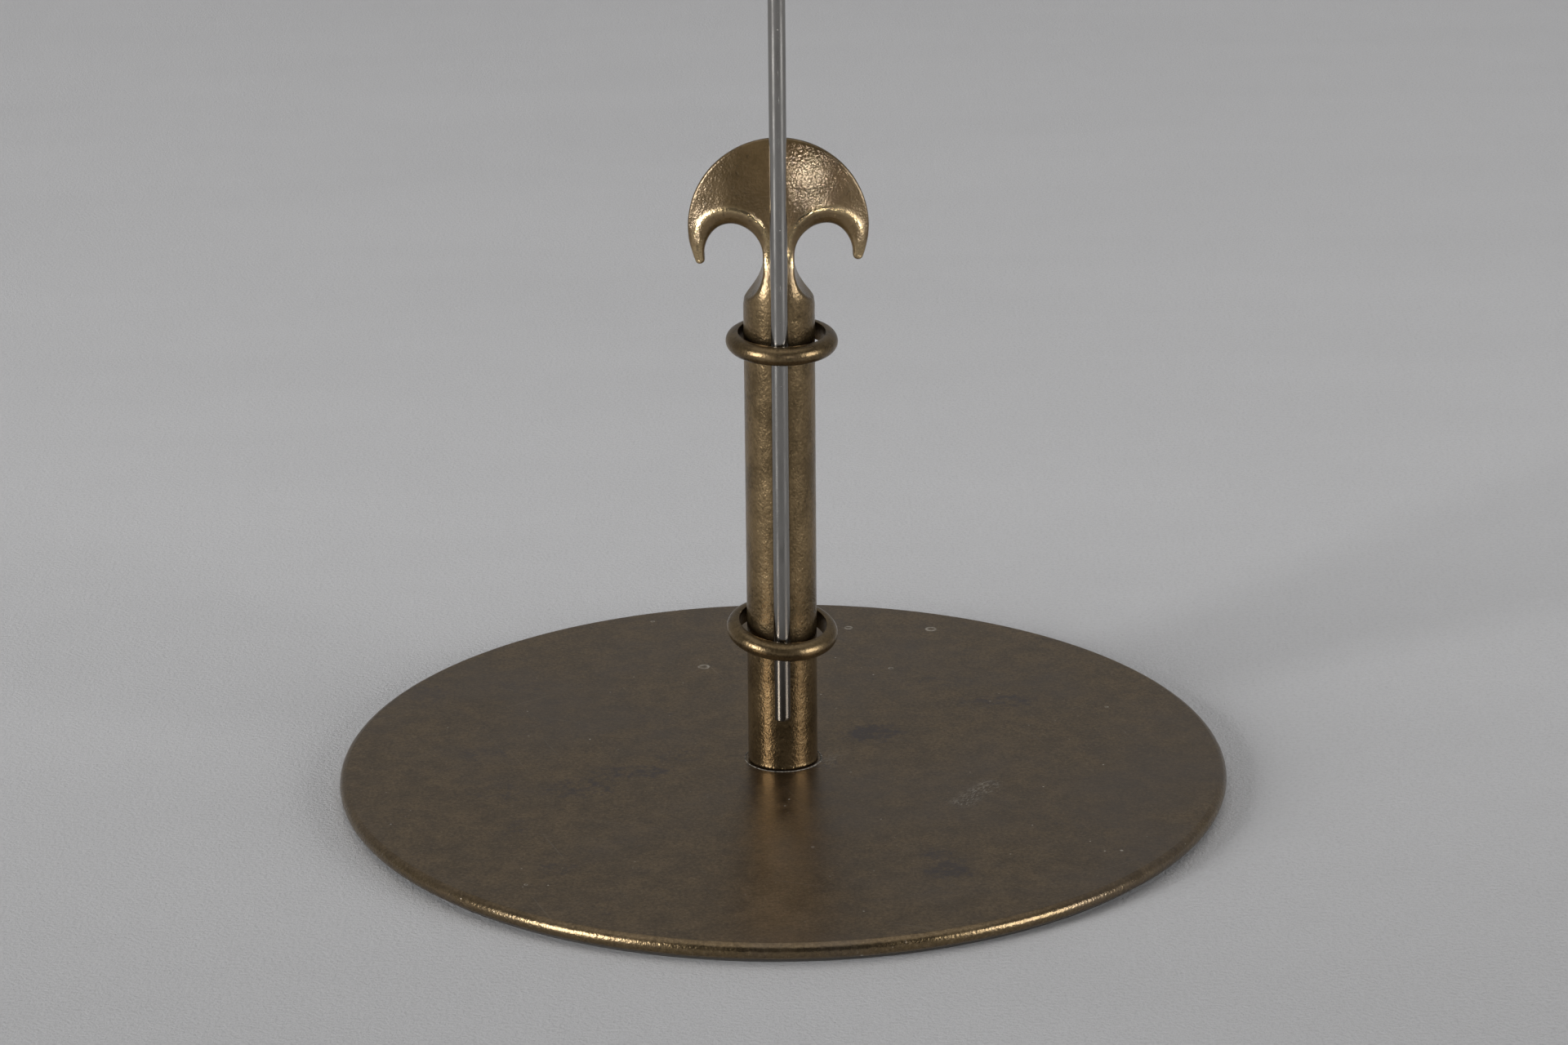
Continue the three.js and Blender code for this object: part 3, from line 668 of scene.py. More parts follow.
def makeDisc():
    low, high = boxOf("base_disc")
    radius, half = high.x, (high.z - low.z) / 2
    rimRadius = (half ** 2 + disc["rimBulge"] ** 2) / (2 * disc["rimBulge"])
    rimAngle = math.degrees(math.asin(half / rimRadius))
    rim = arc(radius - rimRadius, low.z + half, rimRadius, -rimAngle, rimAngle, 20)
    hole = nodes["post_bolt"].dimensions.x / mm / 2
    corners = [(hole, low.z, 0.2), (rim[0][0], low.z, disc["edgeRadius"])]
    underside = rounded([(hole, high.z, 0), *corners, (*rim[2], 0)])[1:-1]
    topEdge = rounded([(*rim[-3], 0), (rim[-1][0], high.z, disc["edgeRadius"]), (hole, high.z, 0)])[1:-1]
    count = round((rim[-1][0] - disc["edgeRadius"] - hole) / disc["ringStep"])
    start = topEdge[-1][0]
    top = [(start + (hole - start) * i / count, high.z) for i in range(1, count + 1)]
    piece = turned("baseDisc", underside + rim[2:-2] + topEdge + top, disc["steps"], makeDiscFinish())
    uneven(piece, disc["waves"], disc["waveSize"], 1)
    paintMarks(piece, "stain", disc["stains"])
    x, y, length, width, turn = disc["scuff"]
    along = Vector((math.cos(math.radians(turn)), math.sin(math.radians(turn))))
    strokes = []
    for t in (-0.6, -0.2, 0.2, 0.6):
        strokes.append((x + along.x * length * t, y + along.y * length * t, width, width, 1.0))
    paintMarks(piece, "scuff", strokes + disc["smears"])
    lean = 1 - np.abs(readPoints(piece, "normal")[:, 2])
    paint(piece, "side", np.clip(lean * 2.5 - 0.2, 0, 1))
    settle(piece, "base", "dark_plate", "base_disc")


makeDisc()
print("disc ready")


# Post and crescent: one casting, drawn as a solid field and skinned with a fine net of quads
post = {
    "diameter": 25, "boltRadius": 4,
    "footFillet": 1.2, "shoulderRadius": 2.2, "scallopRadius": 14,
    "crescentHeight": 199.35,        # its centre above the disc
    "neckWidth": 11, "neckLength": 4.5,
    "eyeRadius": 10.1, "eyeDrop": 9.1,
    "prongWidth": 3.24, "tipAngles": {-1: 9.0, 1: 3.0},        # left and right, below the eyes' centres
    "thickness": 13, "edge": 1.8, "thinnest": 0.5, "neckInset": 0.3,
    "lipRadius": 13.1, "lipDepth": 6, "lipShiftX": 1.2, "lipShiftZ": 3,
    "crests": [(0.32, 0.7), (0.3, 2.4)], "crestFade": 3,        # height and width of the raised lip
    "prongRidge": 1.6, "ridgeAt": 0.7, "ridgeWidth": 0.36,        # shares of the way from the rim to the eye
    "ridgeTop": 12, "ridgeFade": 8, "ridgeInside": 5, "ridgeSpread": 4,
    "rubAt": 0.63, "rubWidth": 0.22, "rubEdge": 0.1,
    "channelGap": 0.15, "boltGap": 0.3, "cornerGap": 0.15,
    "edgeRound": 0.9, "rimRound": 0.5, "joinRound": 3.0, "channelRound": 0.35,
    "netStep": 0.5, "waves": 0.05, "waveSize": 5,
}


def softMax(a, b, width):        # the larger of two fields, with the corner between them rounded
    near = np.maximum(width - np.abs(a - b), 0) / width
    return np.maximum(a, b) + near * near * width / 4


def softMin(a, b, width):
    return -softMax(-a, -b, width)


def limited(value):
    return np.clip(value, 0, 1)


def bell(value, width):        # 1 at 0, falling away over the width
    return np.exp(-(value / width) ** 2)


def outlineDistance(x, z, outline):        # to a closed outline, below 0 inside it
    nearest = np.full(np.broadcast(x, z).shape, 1e9)
    inside = np.zeros(nearest.shape, bool)
    for (ax, az), (bx, bz) in zip(outline, outline[1:] + outline[:1]):
        ex, ez = bx - ax, bz - az
        if ex == 0 and ez == 0:
            continue
        along = np.clip(((x - ax) * ex + (z - az) * ez) / (ex * ex + ez * ez), 0, 1)
        nearest = np.minimum(nearest, (x - ax - ex * along) ** 2 + (z - az - ez * along) ** 2)
        if ez != 0:
            inside ^= ((az > z) != (bz > z)) & (x < ax + ex * (z - az) / ez)
    return np.where(inside, -1, 1) * np.sqrt(nearest)


def postLevels():        # radii and levels that follow from the dimensions
    p = SimpleNamespace(**post)
    p.bottom = boxOf("post")[0].z
    p.radius = p.diameter / 2
    p.centre = boxOf("base_disc")[1].z + p.crescentHeight
    p.eyeX, p.eyeZ = p.neckWidth / 2 + p.eyeRadius, p.centre - p.eyeDrop
    p.eyeReach = math.hypot(p.eyeX, p.eyeDrop)
    p.rim = p.eyeReach + p.eyeRadius + p.prongWidth
    p.scallopX, p.scallopZ = p.neckWidth / 2 + p.scallopRadius, p.eyeZ - p.neckLength
    p.cornerX = p.radius - p.shoulderRadius + p.cornerGap
    rise = math.sqrt((p.scallopRadius + p.shoulderRadius) ** 2 - (p.scallopX - p.cornerX) ** 2)
    p.cornerZ = p.scallopZ - rise
    p.cornerAngle = math.degrees(math.atan2(rise, p.scallopX - p.cornerX))
    p.neckBottom = p.cornerZ + p.shoulderRadius
    rodLow, rodHigh = boxOf("rod")
    p.rodY, p.rodRadius, p.rodBottom = middleOf("rod")[1], rodHigh.x, rodLow.z
    p.boltTop = boxOf("post_bolt")[1].z
    return p


def openingOutline(p, side):        # what is cut away beside the neck: scallop, eye and prong tip
    angle = p.tipAngles[side]
    dx, dz = math.cos(math.radians(angle)), -math.sin(math.radians(angle))
    along = p.eyeX * dx - p.eyeDrop * dz
    tip = (p.rim ** 2 - p.eyeReach ** 2 - p.eyeRadius ** 2 - 2 * p.eyeRadius * along) / (
        2 * (along + p.eyeRadius + p.rim))
    tipX, tipZ = p.eyeX + (p.eyeRadius + tip) * dx, p.eyeZ + (p.eyeRadius + tip) * dz
    tipEnd = math.degrees(math.atan2(tipZ - p.centre, tipX))
    far = p.rim + p.shoulderRadius
    wayOut = far - p.rim * math.cos(math.radians(tipEnd))
    edgeZ = p.centre + p.rim * math.sin(math.radians(tipEnd))
    right = [
        (far, p.cornerZ), (far, edgeZ - wayOut / math.tan(math.radians(tipEnd))),
        *arc(tipX, tipZ, tip, 360 + tipEnd, 180 - angle, 16),
        *arc(p.eyeX, p.eyeZ, p.eyeRadius, -angle, 180, 40)[1:],
        *arc(p.scallopX, p.scallopZ, p.scallopRadius, 180, 180 + p.cornerAngle, 24),
        *arc(p.cornerX, p.cornerZ, p.shoulderRadius, p.cornerAngle, 0, 10)[1:],
    ]
    return [(side * x, z) for x, z in right]


def lipDistance(p, x, z):        # from the crest round each eye
    return np.hypot(np.abs(x) - p.eyeX - p.lipShiftX, z - p.eyeZ - p.lipShiftZ) - p.lipRadius


def postField(p, x, y, z, opening):        # below 0 inside the casting
    across = np.hypot(x, z - p.centre)
    sag = (p.thickness - p.edge) / 2
    face = (p.rim ** 2 + sag ** 2) / (2 * sag)
    dome = p.thickness / 2 - face + np.sqrt(np.maximum(face ** 2 - across ** 2, 1))
    lip = lipDistance(p, x, z)
    crest = sum(height * np.exp(-0.5 * (np.maximum(lip, 0) / width) ** 2) for height, width in p.crests)
    share = (p.rim - across) / np.maximum(p.rim - across + np.maximum(opening, 0), 0.1)
    ridge = p.prongRidge * bell(share - p.ridgeAt, p.ridgeWidth)
    ridge = ridge * limited((p.eyeZ + p.ridgeTop - z) / p.ridgeFade)
    ridge = ridge * limited((np.abs(x) - p.eyeX - p.ridgeInside) / p.ridgeSpread)
    thick = np.maximum(dome + crest * limited((p.rim - across) / p.crestFade) + ridge, p.thinnest)
    inward = np.maximum(-lip, 0) / p.lipDepth
    lens = (np.hypot(y / thick, inward) - 1) * thick
    lens = softMax(lens, across - p.rim, p.rimRound)
    lens = np.maximum(lens, p.neckBottom - z)

    rise = limited((z - p.neckBottom) / (p.centre - p.neckBottom))
    neck = p.thickness / 2 - p.neckInset
    width = neck + (p.radius - neck) * (1 + np.cos(math.pi * rise)) / 2
    foot = np.clip(p.footFillet - (z - p.bottom), 0, p.footFillet)
    width = width + p.footFillet - np.sqrt(p.footFillet ** 2 - foot ** 2)
    column = np.maximum(np.hypot(x, y) - width, z - p.centre)

    body = np.where(z > p.neckBottom + 1, softMin(lens, column, p.joinRound), np.minimum(lens, column))
    body = softMax(body, -opening, p.edgeRound)
    channel = np.hypot(x, y - p.rodY) - p.rodRadius - p.channelGap
    channel = np.maximum(channel, p.rodBottom - 2 * p.channelGap - z)
    body = softMax(body, -channel, p.channelRound)
    bolt = np.maximum(np.hypot(x, y) - p.boltRadius - p.boltGap, z - p.boltTop - p.boltGap)
    body = np.maximum(body, -bolt)
    return np.maximum(body, p.bottom - z)


def netSurface(field, low, size):        # one point in each crossed cell, one quad for each crossed grid line
    cells = np.array(field.shape) - 1
    total = np.zeros((*cells, 3), np.float32)
    count = np.zeros(cells, np.int8)
    crossings = []
    for axis in range(3):
        u, v = [i for i in range(3) if i != axis]
        first = np.take(field, range(cells[axis]), axis)
        second = np.take(field, range(1, cells[axis] + 1), axis)
        crossed = (first < 0) != (second < 0)
        share = np.where(crossed, first / np.where(crossed, first - second, 1), 0)
        crossings.append((axis, u, v, crossed, first < 0))
        for du in (0, 1):
            for dv in (0, 1):
                pick = [slice(None)] * 3
                pick[u], pick[v] = slice(du, du + cells[u]), slice(dv, dv + cells[v])
                here = crossed[tuple(pick)]
                count += here
                total[..., axis] += share[tuple(pick)]
                total[..., u] += here * du
                total[..., v] += here * dv
    used = np.argwhere(count)
    index = np.full(cells, -1)
    index[tuple(used.T)] = np.arange(len(used))
    points = low + size * (used + total[tuple(used.T)] / count[tuple(used.T)][:, None])
    quads = []
    for axis, u, v, crossed, inside in crossings:
        at = np.argwhere(crossed)
        back = np.eye(3, dtype=int)
        corners = [at - a * back[u] - b * back[v] for a, b in ((1, 1), (0, 1), (0, 0), (1, 0))]
        quad = np.stack([index[tuple(corner.T)] for corner in corners], 1)
        flip = inside[tuple(at.T)] == (axis == 1)
        quad[flip] = quad[flip][:, ::-1]
        quads.append(quad)
    return points, np.concatenate(quads)


def relax(points, quads):        # evens the net out
    ends = np.concatenate([quads[:, [i, (i + 1) % 4]] for i in range(4)])
    total = np.zeros_like(points)
    np.add.at(total, ends[:, 0], points[ends[:, 1]])
    count = np.bincount(ends[:, 0], minlength=len(points))[:, None]
    return points * 0.4 + total / np.maximum(count, 1) * 0.6


def rubbedParts(p, points, normals, opening):        # lips, prong fronts and neck edges, polished by hands
    x, z = points[:, 0], points[:, 2]
    across = np.hypot(x, z - p.centre)
    lip = lipDistance(p, x, z)
    crest = bell(lip, np.where(lip > 0, 1.0, 0.6)) * limited((p.rim - across) / 2 - 0.5)
    share = (p.rim - across) / np.maximum(p.rim - across + opening, 0.1)
    prong = bell(share - p.rubAt, p.rubWidth) * limited((p.eyeZ + 6 - z) / 5) * (np.abs(x) > p.eyeX)
    edge = bell(opening, 0.8) * limited((p.eyeZ - 1 - z) / 4)
    facing = limited(np.abs(normals[:, 1]) * 2 - 0.5)
    return limited(np.maximum(crest, prong) + p.rubEdge * edge) * facing


def makePost():
    p = postLevels()
    outlines = [openingOutline(p, side) for side in (-1, 1)]

    def openingAt(x, z):
        return np.minimum(*(outlineDistance(x, z, outline) for outline in outlines))

    def openingNear(points):
        opening = np.full(len(points), 50.0)
        near = points[:, 2] > p.cornerZ - 3        # the openings don't reach lower
        opening[near] = openingAt(points[near, 0], points[near, 2])
        return opening

    def fieldAt(points):
        return postField(p, *points.T, openingNear(points))

    size = p.netStep
    low, high = boxOf("post")
    margin = 4 * size
    x, y, z = (np.arange(a - margin, b + margin, size) for a, b in zip(low, high))
    opening = openingAt(x[:, None], z[None, :])
    field = postField(p, x[:, None, None], y[None, :, None], z[None, None, :], opening[:, None, :])
    points, quads = netSurface(field, np.array([x[0], y[0], z[0]]), size)
    nudge = 0.02
    for _ in range(3):
        points = relax(points, quads)
        for _ in range(2):        # back on the surface
            rises = [fieldAt(points + nudge * e) - fieldAt(points - nudge * e) for e in np.eye(3)]
            slope = np.stack(rises, 1) / (2 * nudge)
            pull = fieldAt(points) / np.maximum((slope ** 2).sum(1), 0.3)
            points = points - slope * np.clip(pull, -size, size)[:, None]
    piece = newPiece("postAndCrescent", points, quads.tolist(), postBronze, 80)
    rub = rubbedParts(p, points, readPoints(piece, "normal"), openingNear(points))
    paint(piece, "rub", rub)
    uneven(piece, p.waves, p.waveSize, 2)
    settle(piece, "base", "patinated_bronze", "post")
    print("post skinned with", len(quads), "quads")


makePost()


# Jam rings: flat bore, round outside, as they lie tilted on the post and the rod
ring = {"flat": 0.8, "edge": 0.25, "steps": 160, "waves": 0.03, "waveSize": 7}


def ringPose(node):        # centre, axis, bore, outside and half height of a tilted ring
    points = np.unique(np.array([v.co for v in nodes[node].data.vertices]).round(6), axis=0) / mm
    centre = points.mean(0)
    axis = np.linalg.svd(points - centre, full_matrices=False)[2][2]
    axis = axis * np.sign(axis[2])
    rise = (points - centre) @ axis
    reach = np.linalg.norm(points - centre - rise[:, None] * axis, axis=1)
    return Vector(centre), Vector(axis), reach.min(), reach.max(), rise.max()


def makeRing(name, node, body, seed):
    centre, axis, inner, outer, half = ringPose(node)
    crown = inner + ring["flat"]
    outside = [(crown + (outer - crown) * x, half * z) for x, z in arc(0, 0, 1, -90, 90, 28)]
    bore = [(*outside[-1], 0), (inner, half, ring["edge"]), (inner, -half, ring["edge"]), (*outside[0], 0)]
    piece = turned(name, rounded(bore)[1:-1] + outside, ring["steps"], ringBronze)
    tilt = Vector((0, 0, 1)).rotation_difference(axis).to_matrix().to_4x4()
    piece.data.transform(Matrix.Translation(centre * mm) @ tilt)
    uneven(piece, ring["waves"], ring["waveSize"], seed)
    settle(piece, body, "patinated_bronze", node)


makeRing("upperRing", "upper_ring", "upper_ring", 3)
makeRing("lowerRing", "lower_ring", "lower_ring", 4)


# Rod: drawn steel bar, sawn off and filed a little at its lower end
rod = {
    "chamfer": 0.45, "steps": 72, "filedTurn": -40, "filedDepth": 0.35, "filedRise": 1.2,
    "rows": 40, "footRows": 8, "footStep": 0.25,
    "tone": (0.285, 0.275, 0.26), "roughness": 0.18, "brushed": 0.6,
}


def makeSteel(name, tone, roughness, brushed):
    material, tree, shader = newFinish(name, Metallic=1.0, Anisotropic=brushed)
    shader.inputs["Anisotropic Rotation"].default_value = 0.25
    place = places(tree)
    lines = clouds(tree, stretched(tree, place, (1.0, 1.0, 0.012)), 2600.0, 3.0, 0.6)
    smudge = clouds(tree, stretched(tree, place, (1.0, 1.0, 0.3)), 120.0, 4.0, 0.6)
    nicks = speckMask(tree, 320.0, 0.1, 0.1)
    dark = tint(tone, 0.62)
    color = mixColor(tree, step(tree, smudge, 0.45, 0.75, 0.0, 0.6), rgb(tone), dark)
    color = mixColor(tree, step(tree, lines, 0.55, 0.75, 0.0, 0.3), color, dark)
    color = mixColor(tree, times(tree, nicks, 0.7), color, rgb((0.06, 0.06, 0.06)))
    rough = step(tree, smudge, 0.3, 0.7, roughness - 0.04, roughness + 0.08)
    dress(tree, shader, color, rough, bump(tree, calc(tree, "SUBTRACT", lines, nicks), 0.005))
    return material


rodSteel = makeSteel("rodSteel", rod["tone"], rod["roughness"], rod["brushed"])
boltSteel = makeSteel("boltSteel", (0.42, 0.42, 0.41), 0.32, 0.0)


def makeRod():
    low, high = boxOf("rod")
    middle = middleOf("rod")[1]
    rise = [low.z + (high.z - low.z) * i / rod["rows"] for i in range(1, rod["rows"])]
    lower = rounded([(0, low.z, 0), (high.x, low.z, rod["chamfer"]), (high.x, rise[0], 0)])[:-1]
    upper = rounded([(high.x, rise[-1], 0), (high.x, high.z, rod["chamfer"]), (0, high.z, 0)])[1:]
    filedRows = [(high.x, low.z + rod["chamfer"] + rod["footStep"] * (i + 1)) for i in range(rod["footRows"])]
    profile = lower + filedRows + [(high.x, z) for z in rise] + upper
    piece = turned("rodBar", profile, rod["steps"], rodSteel, (0, middle))
    points = readPoints(piece, "co") / mm
    turn = np.arctan2(points[:, 1] - middle, points[:, 0]) - math.radians(rod["filedTurn"])
    filed = limited(1 - (points[:, 2] - low.z) / rod["filedRise"]) * limited(np.cos(turn) * 3 - 2)
    points[:, :2] -= (points[:, :2] - (0, middle)) / high.x * (filed * rod["filedDepth"])[:, None]
    writePoints(piece, points * mm)
    settle(piece, "rod", "satin_steel", "rod")


makeRod()


# Foot: a thin line of old polish where the post meets the disc, thicker towards the right
foot = {
    "radius": 13.7, "line": 0.19, "ragged": 0.5, "steps": 160,
    "smear": 0.5, "smearTurn": -20, "smearWidth": 0.55,
    "dark": (0.02, 0.017, 0.013), "pale": (0.26, 0.235, 0.2),
}


def makePolish():
    material, tree, shader = newFinish("oldPolish")
    grain = clouds(tree, places(tree), 900.0, 3.0)
    color = mixColor(tree, step(tree, grain, 0.3, 0.7), rgb(foot["dark"]), rgb(foot["pale"]))
    dress(tree, shader, color, step(tree, grain, 0.3, 0.7, 0.55, 0.8), bump(tree, grain, 0.1))
    return material


def makeFoot():
    line = arc(foot["radius"], boxOf("base_disc")[1].z, foot["line"], -180, 150, 11)
    piece = turned("footLine", line, foot["steps"], makePolish())
    points = readPoints(piece, "co") / mm
    turn = np.arctan2(points[:, 1], points[:, 0]) - math.radians(foot["smearTurn"])
    away = np.hypot(points[:, 0], points[:, 1]) - foot["radius"]
    ragged = np.array([noise.noise(Vector((math.cos(t) * 5, math.sin(t) * 5, 0))) for t in turn])
    spread = 1 + ragged * foot["ragged"] + foot["smear"] / foot["line"] * bell(turn, foot["smearWidth"])
    points[:, :2] *= (1 + np.maximum(away, 0) * (spread - 1) / foot["radius"])[:, None]
    writePoints(piece, points * mm)
    settle(piece, "base", "patinated_bronze")


makeFoot()


# Felt under the disc
felt = {"edge": 0.5, "holeEdge": 0.3, "rows": 16, "steps": 220, "fuzz": 0.12, "tone": (0.045, 0.042, 0.038)}


def makeFeltFinish():
    material, tree, shader = newFinish("darkFelt")
    place = places(tree)
    fibres = clouds(tree, place, 1800.0, 4.0, 0.7)
    tufts = clouds(tree, place, 260.0, 3.0)
    color = mixColor(tree, fibres, tint(felt["tone"], 0.5), tint(felt["tone"], 1.6))
    rough = step(tree, tufts, 0.3, 0.7, 0.9, 1.0)
    dress(tree, shader, color, rough, bump(tree, plus(tree, fibres, tufts), 0.3))
    return material


def makeFelt():
    high = boxOf("felt_pad")[1]
    hole = min(math.hypot(v.co.x, v.co.y) for v in nodes["felt_pad"].data.vertices) / mm
    rows = [hole + (high.x - hole) * i / felt["rows"] for i in range(1, felt["rows"])]
    corners = rounded([(hole, 0, felt["holeEdge"]), (high.x, 0, felt["edge"]),
                       (high.x, high.z, felt["edge"]), (hole, high.z, felt["holeEdge"])], 3)
    under = [(r, 0) for r in rows]
    over = [(r, high.z) for r in reversed(rows)]
    profile = corners[:4] + under + corners[4:12] + over + corners[12:]
    piece = turned("feltPad", profile, felt["steps"], makeFeltFinish())
    points = readPoints(piece, "co")
    rim = np.hypot(points[:, 0], points[:, 1]) > (high.x - 1) * mm
    fuzz = np.array([noise.noise(Vector(p) * 900) for p in points]) * felt["fuzz"] * mm
    points[rim, :2] *= (1 + fuzz[rim] / (high.x * mm))[:, None]
    writePoints(piece, points)
    settle(piece, "base", "felt", "felt_pad")


makeFelt()
print("rings, rod, foot and felt ready")


# Head finishes
def makeBrass(name, tone, roughness):
    material, tree, shader = newFinish(name, Metallic=1.0)
    lathe = useGroup(tree, turning, Pitch=2600.0)
    rub = rubMask(tree, 0.52, 0.6, 260.0)
    dull = rgb((tone[0] * 0.62, tone[1] * 0.56, tone[2] * 0.5))
    old = useGroup(tree, patina, Deep=dull, Warm=rgb(tone), Rubbed=tint(tone, 1.35), Scale=55.0, Rub=rub)
    spots = speckMask(tree, 220.0, 0.16, 0.12)
    color = mixColor(tree, times(tree, spots, 0.6), old["Color"], rgb((0.1, 0.07, 0.04)))
    rough = step(tree, lathe["Dull"], 0.3, 0.7, roughness - 0.06, roughness + 0.1)
    dress(tree, shader, color, rough, bump(tree, lathe["Height"], 0.012))
    return material


def makePlastic(name, tone):
    material, tree, shader = newFinish(name)
    place = places(tree)
    wear = clouds(tree, place, 150.0, 4.0, 0.65)
    color = mixColor(tree, step(tree, wear, 0.5, 0.75, 0.0, 0.5), rgb(tone), tint(tone, 2.4))
    grain = bump(tree, clouds(tree, place, 2400.0, 2.0), 0.01)
    dress(tree, shader, color, step(tree, wear, 0.3, 0.7, 0.36, 0.5), grain)
    return material


def makePorcelain():
    material, tree, shader = newFinish("glazedPorcelain")
    cloudy = clouds(tree, places(tree), 70.0, 3.0)
    dots = speckMask(tree, 300.0, 0.08, 0.09)
    color = mixColor(tree, cloudy, rgb((0.78, 0.75, 0.68)), rgb((0.86, 0.84, 0.79)))
    color = mixColor(tree, dots, color, rgb((0.4, 0.34, 0.26)))
    dress(tree, shader, color, step(tree, cloudy, 0.3, 0.7, 0.16, 0.26), bump(tree, cloudy, 0.15))
    shader.inputs["Coat Weight"].default_value = 0.4
    return material


def makeOpal():
    material, tree, shader = newFinish("opalGlass")
    cloudy = clouds(tree, places(tree), 45.0, 3.0)
    color = mixColor(tree, cloudy, rgb((0.84, 0.82, 0.78)), rgb((0.92, 0.91, 0.88)))
    dress(tree, shader, color, step(tree, cloudy, 0.3, 0.7, 0.1, 0.18), bump(tree, cloudy, 0.2))
    shader.inputs["Subsurface Weight"].default_value = 0.3
    shader.inputs["Subsurface Radius"].default_value = (0.004, 0.004, 0.004)
    return material


def makeParchment(name, tone, shadeTone):
    material, tree, shader = newFinish(name)
    place = places(tree)
    mottled = clouds(tree, place, 16.0, 5.0, 0.6)
    hairs = []
    for turn in (0.0, 1.0, 2.1):
        spin = {"Vector": place, "Rotation": (turn, turn * 0.7, turn * 1.3)}
        lain = put(tree, "VectorRotate", spin, rotation_type="EULER_XYZ").outputs[0]
        hair = clouds(tree, stretched(tree, lain, (0.05, 1.0, 1.0)), 700.0, 1.0)
        hairs.append(step(tree, hair, 0.66, 0.76))
    fibres = most(tree, *hairs)
    flecks = speckMask(tree, 130.0, 0.12, 0.06)
    color = mixColor(tree, step(tree, mottled, 0.35, 0.65), rgb(shadeTone), rgb(tone))
    color = mixColor(tree, times(tree, fibres, 0.35), color, tint(shadeTone, 0.72))
    color = mixColor(tree, times(tree, flecks, 0.5), color, rgb((0.3, 0.22, 0.13)))
    height = plus(tree, times(tree, fibres, 0.6), clouds(tree, place, 1100.0, 3.0))
    dress(tree, shader, color, step(tree, mottled, 0.3, 0.7, 0.55, 0.72), bump(tree, height, 0.06))
    shader.inputs["Subsurface Weight"].default_value = 0.15
    shader.inputs["Subsurface Radius"].default_value = (0.003, 0.002, 0.001)
    return material


agedBrass = makeBrass("agedBrass", (0.52, 0.4, 0.2), 0.3)
blackPlastic = makePlastic("blackPlastic", (0.025, 0.024, 0.023))
porcelain = makePorcelain()
opalGlass = makeOpal()
parchment = makeParchment("parchment", (0.78, 0.7, 0.54), (0.68, 0.58, 0.41))
hemTape = makeParchment("hemTape", (0.62, 0.52, 0.36), (0.5, 0.4, 0.26))

headAxis = (0.0, middleOf("rod")[1])


def aroundHead(radius, turn, level):
    return headAxis[0] + radius * math.cos(turn), headAxis[1] + radius * math.sin(turn), level


def turnedHead(name, profile, steps, material, slot, node, sharp=40):        # turned on the head's axis
    return settle(turned(name, profile, steps, material, headAxis, sharp), "head", slot, node)


def drill(radius, start, stop, steps, material):
    return turned("drill", [(0, start), (radius, start), (radius, stop), (0, stop)], steps, material)


# Rod socket: a turned foot for the lampholder, grooved, with a clamping screw at the back
socket = {
    "lower": 5.5, "upper": 9.0, "swellLength": 14.3, "swellSteps": 24,
    "bore": 3.15, "endGap": 0.3, "floor": 4.0, "nippleHole": 5.3, "grubHole": 2.3, "grubReach": 9,
    "grooves": (3.0, 4.6), "grooveDepth": 0.35, "steps": 96,
}


def makeSocket():
    low, high = boxOf("rod_socket")
    lower, bore, nipple = (socket[key] for key in ("lower", "bore", "nippleHole"))
    start, roof = high.z - socket["swellLength"], boxOf("rod")[1].z + socket["endGap"]
    swell = []
    for i in range(socket["swellSteps"] + 1):
        share = i / socket["swellSteps"]
        wider = (socket["upper"] - lower) * (1 - math.cos(math.pi * share)) / 2
        swell.append((lower + wider, start + socket["swellLength"] * share))
    grooves = []
    for rise in socket["grooves"]:
        grooves += arc(lower, low.z + rise, socket["grooveDepth"], 270, 90, 6)
    outside = rounded([(bore, low.z, 0.3), (lower, low.z, 0.5), (lower, start, 0)])[:-1]
    top = rounded([(*swell[-3], 0), (*swell[-1], 0.6), (nipple, high.z, 0.3), (nipple, start, 0)])[1:-1]
    inside = [(nipple, roof + socket["floor"]), (0, roof + socket["floor"])]
    profile = [(0, roof), (bore, roof)] + outside + grooves + swell[:-2] + top + inside
    piece = turned("rodSocket", profile, socket["steps"], socketBronze, headAxis)
    hole = drill(socket["grubHole"], 0, socket["grubReach"], 32, socketBronze)
    laidAcross(hole, (0, headAxis[1], middleOf("socket_grub_screw")[2]), -1, "X")
    settle(cutAway(piece, hole), "head", "patinated_bronze", "rod_socket")


makeSocket()


# Lampholder: a drawn cup, a porcelain core, a screw shell and a threaded sleeve
holder = {
    "cupWall": 1.2, "cupCorner": 4.0, "nippleHole": 5.3, "barHole": 2.6, "glandHole": 4.8, "drillReach": 30,
    "rimBead": 0.5, "beadDrop": 3.5, "beadProud": 0.45, "beadGap": 0.02,
    "coreBoss": 19.5, "coreFlange": 3.0, "contactSide": 1.4,
    "shellInner": 13.3, "shellShare": 0.7, "threadPitch": 3.6, "threadDepth": 0.35,
    "sleeve": 19.5, "sleeveWall": 1.4, "sleeveDrop": 0.3,
    "shoulder": 23.5, "shoulderThickness": 2.0, "shoulderRise": 7.0,
    "sleevePitch": 2.3, "sleeveThread": 0.35, "sleeveCap": 2.7, "steps": 112,
}


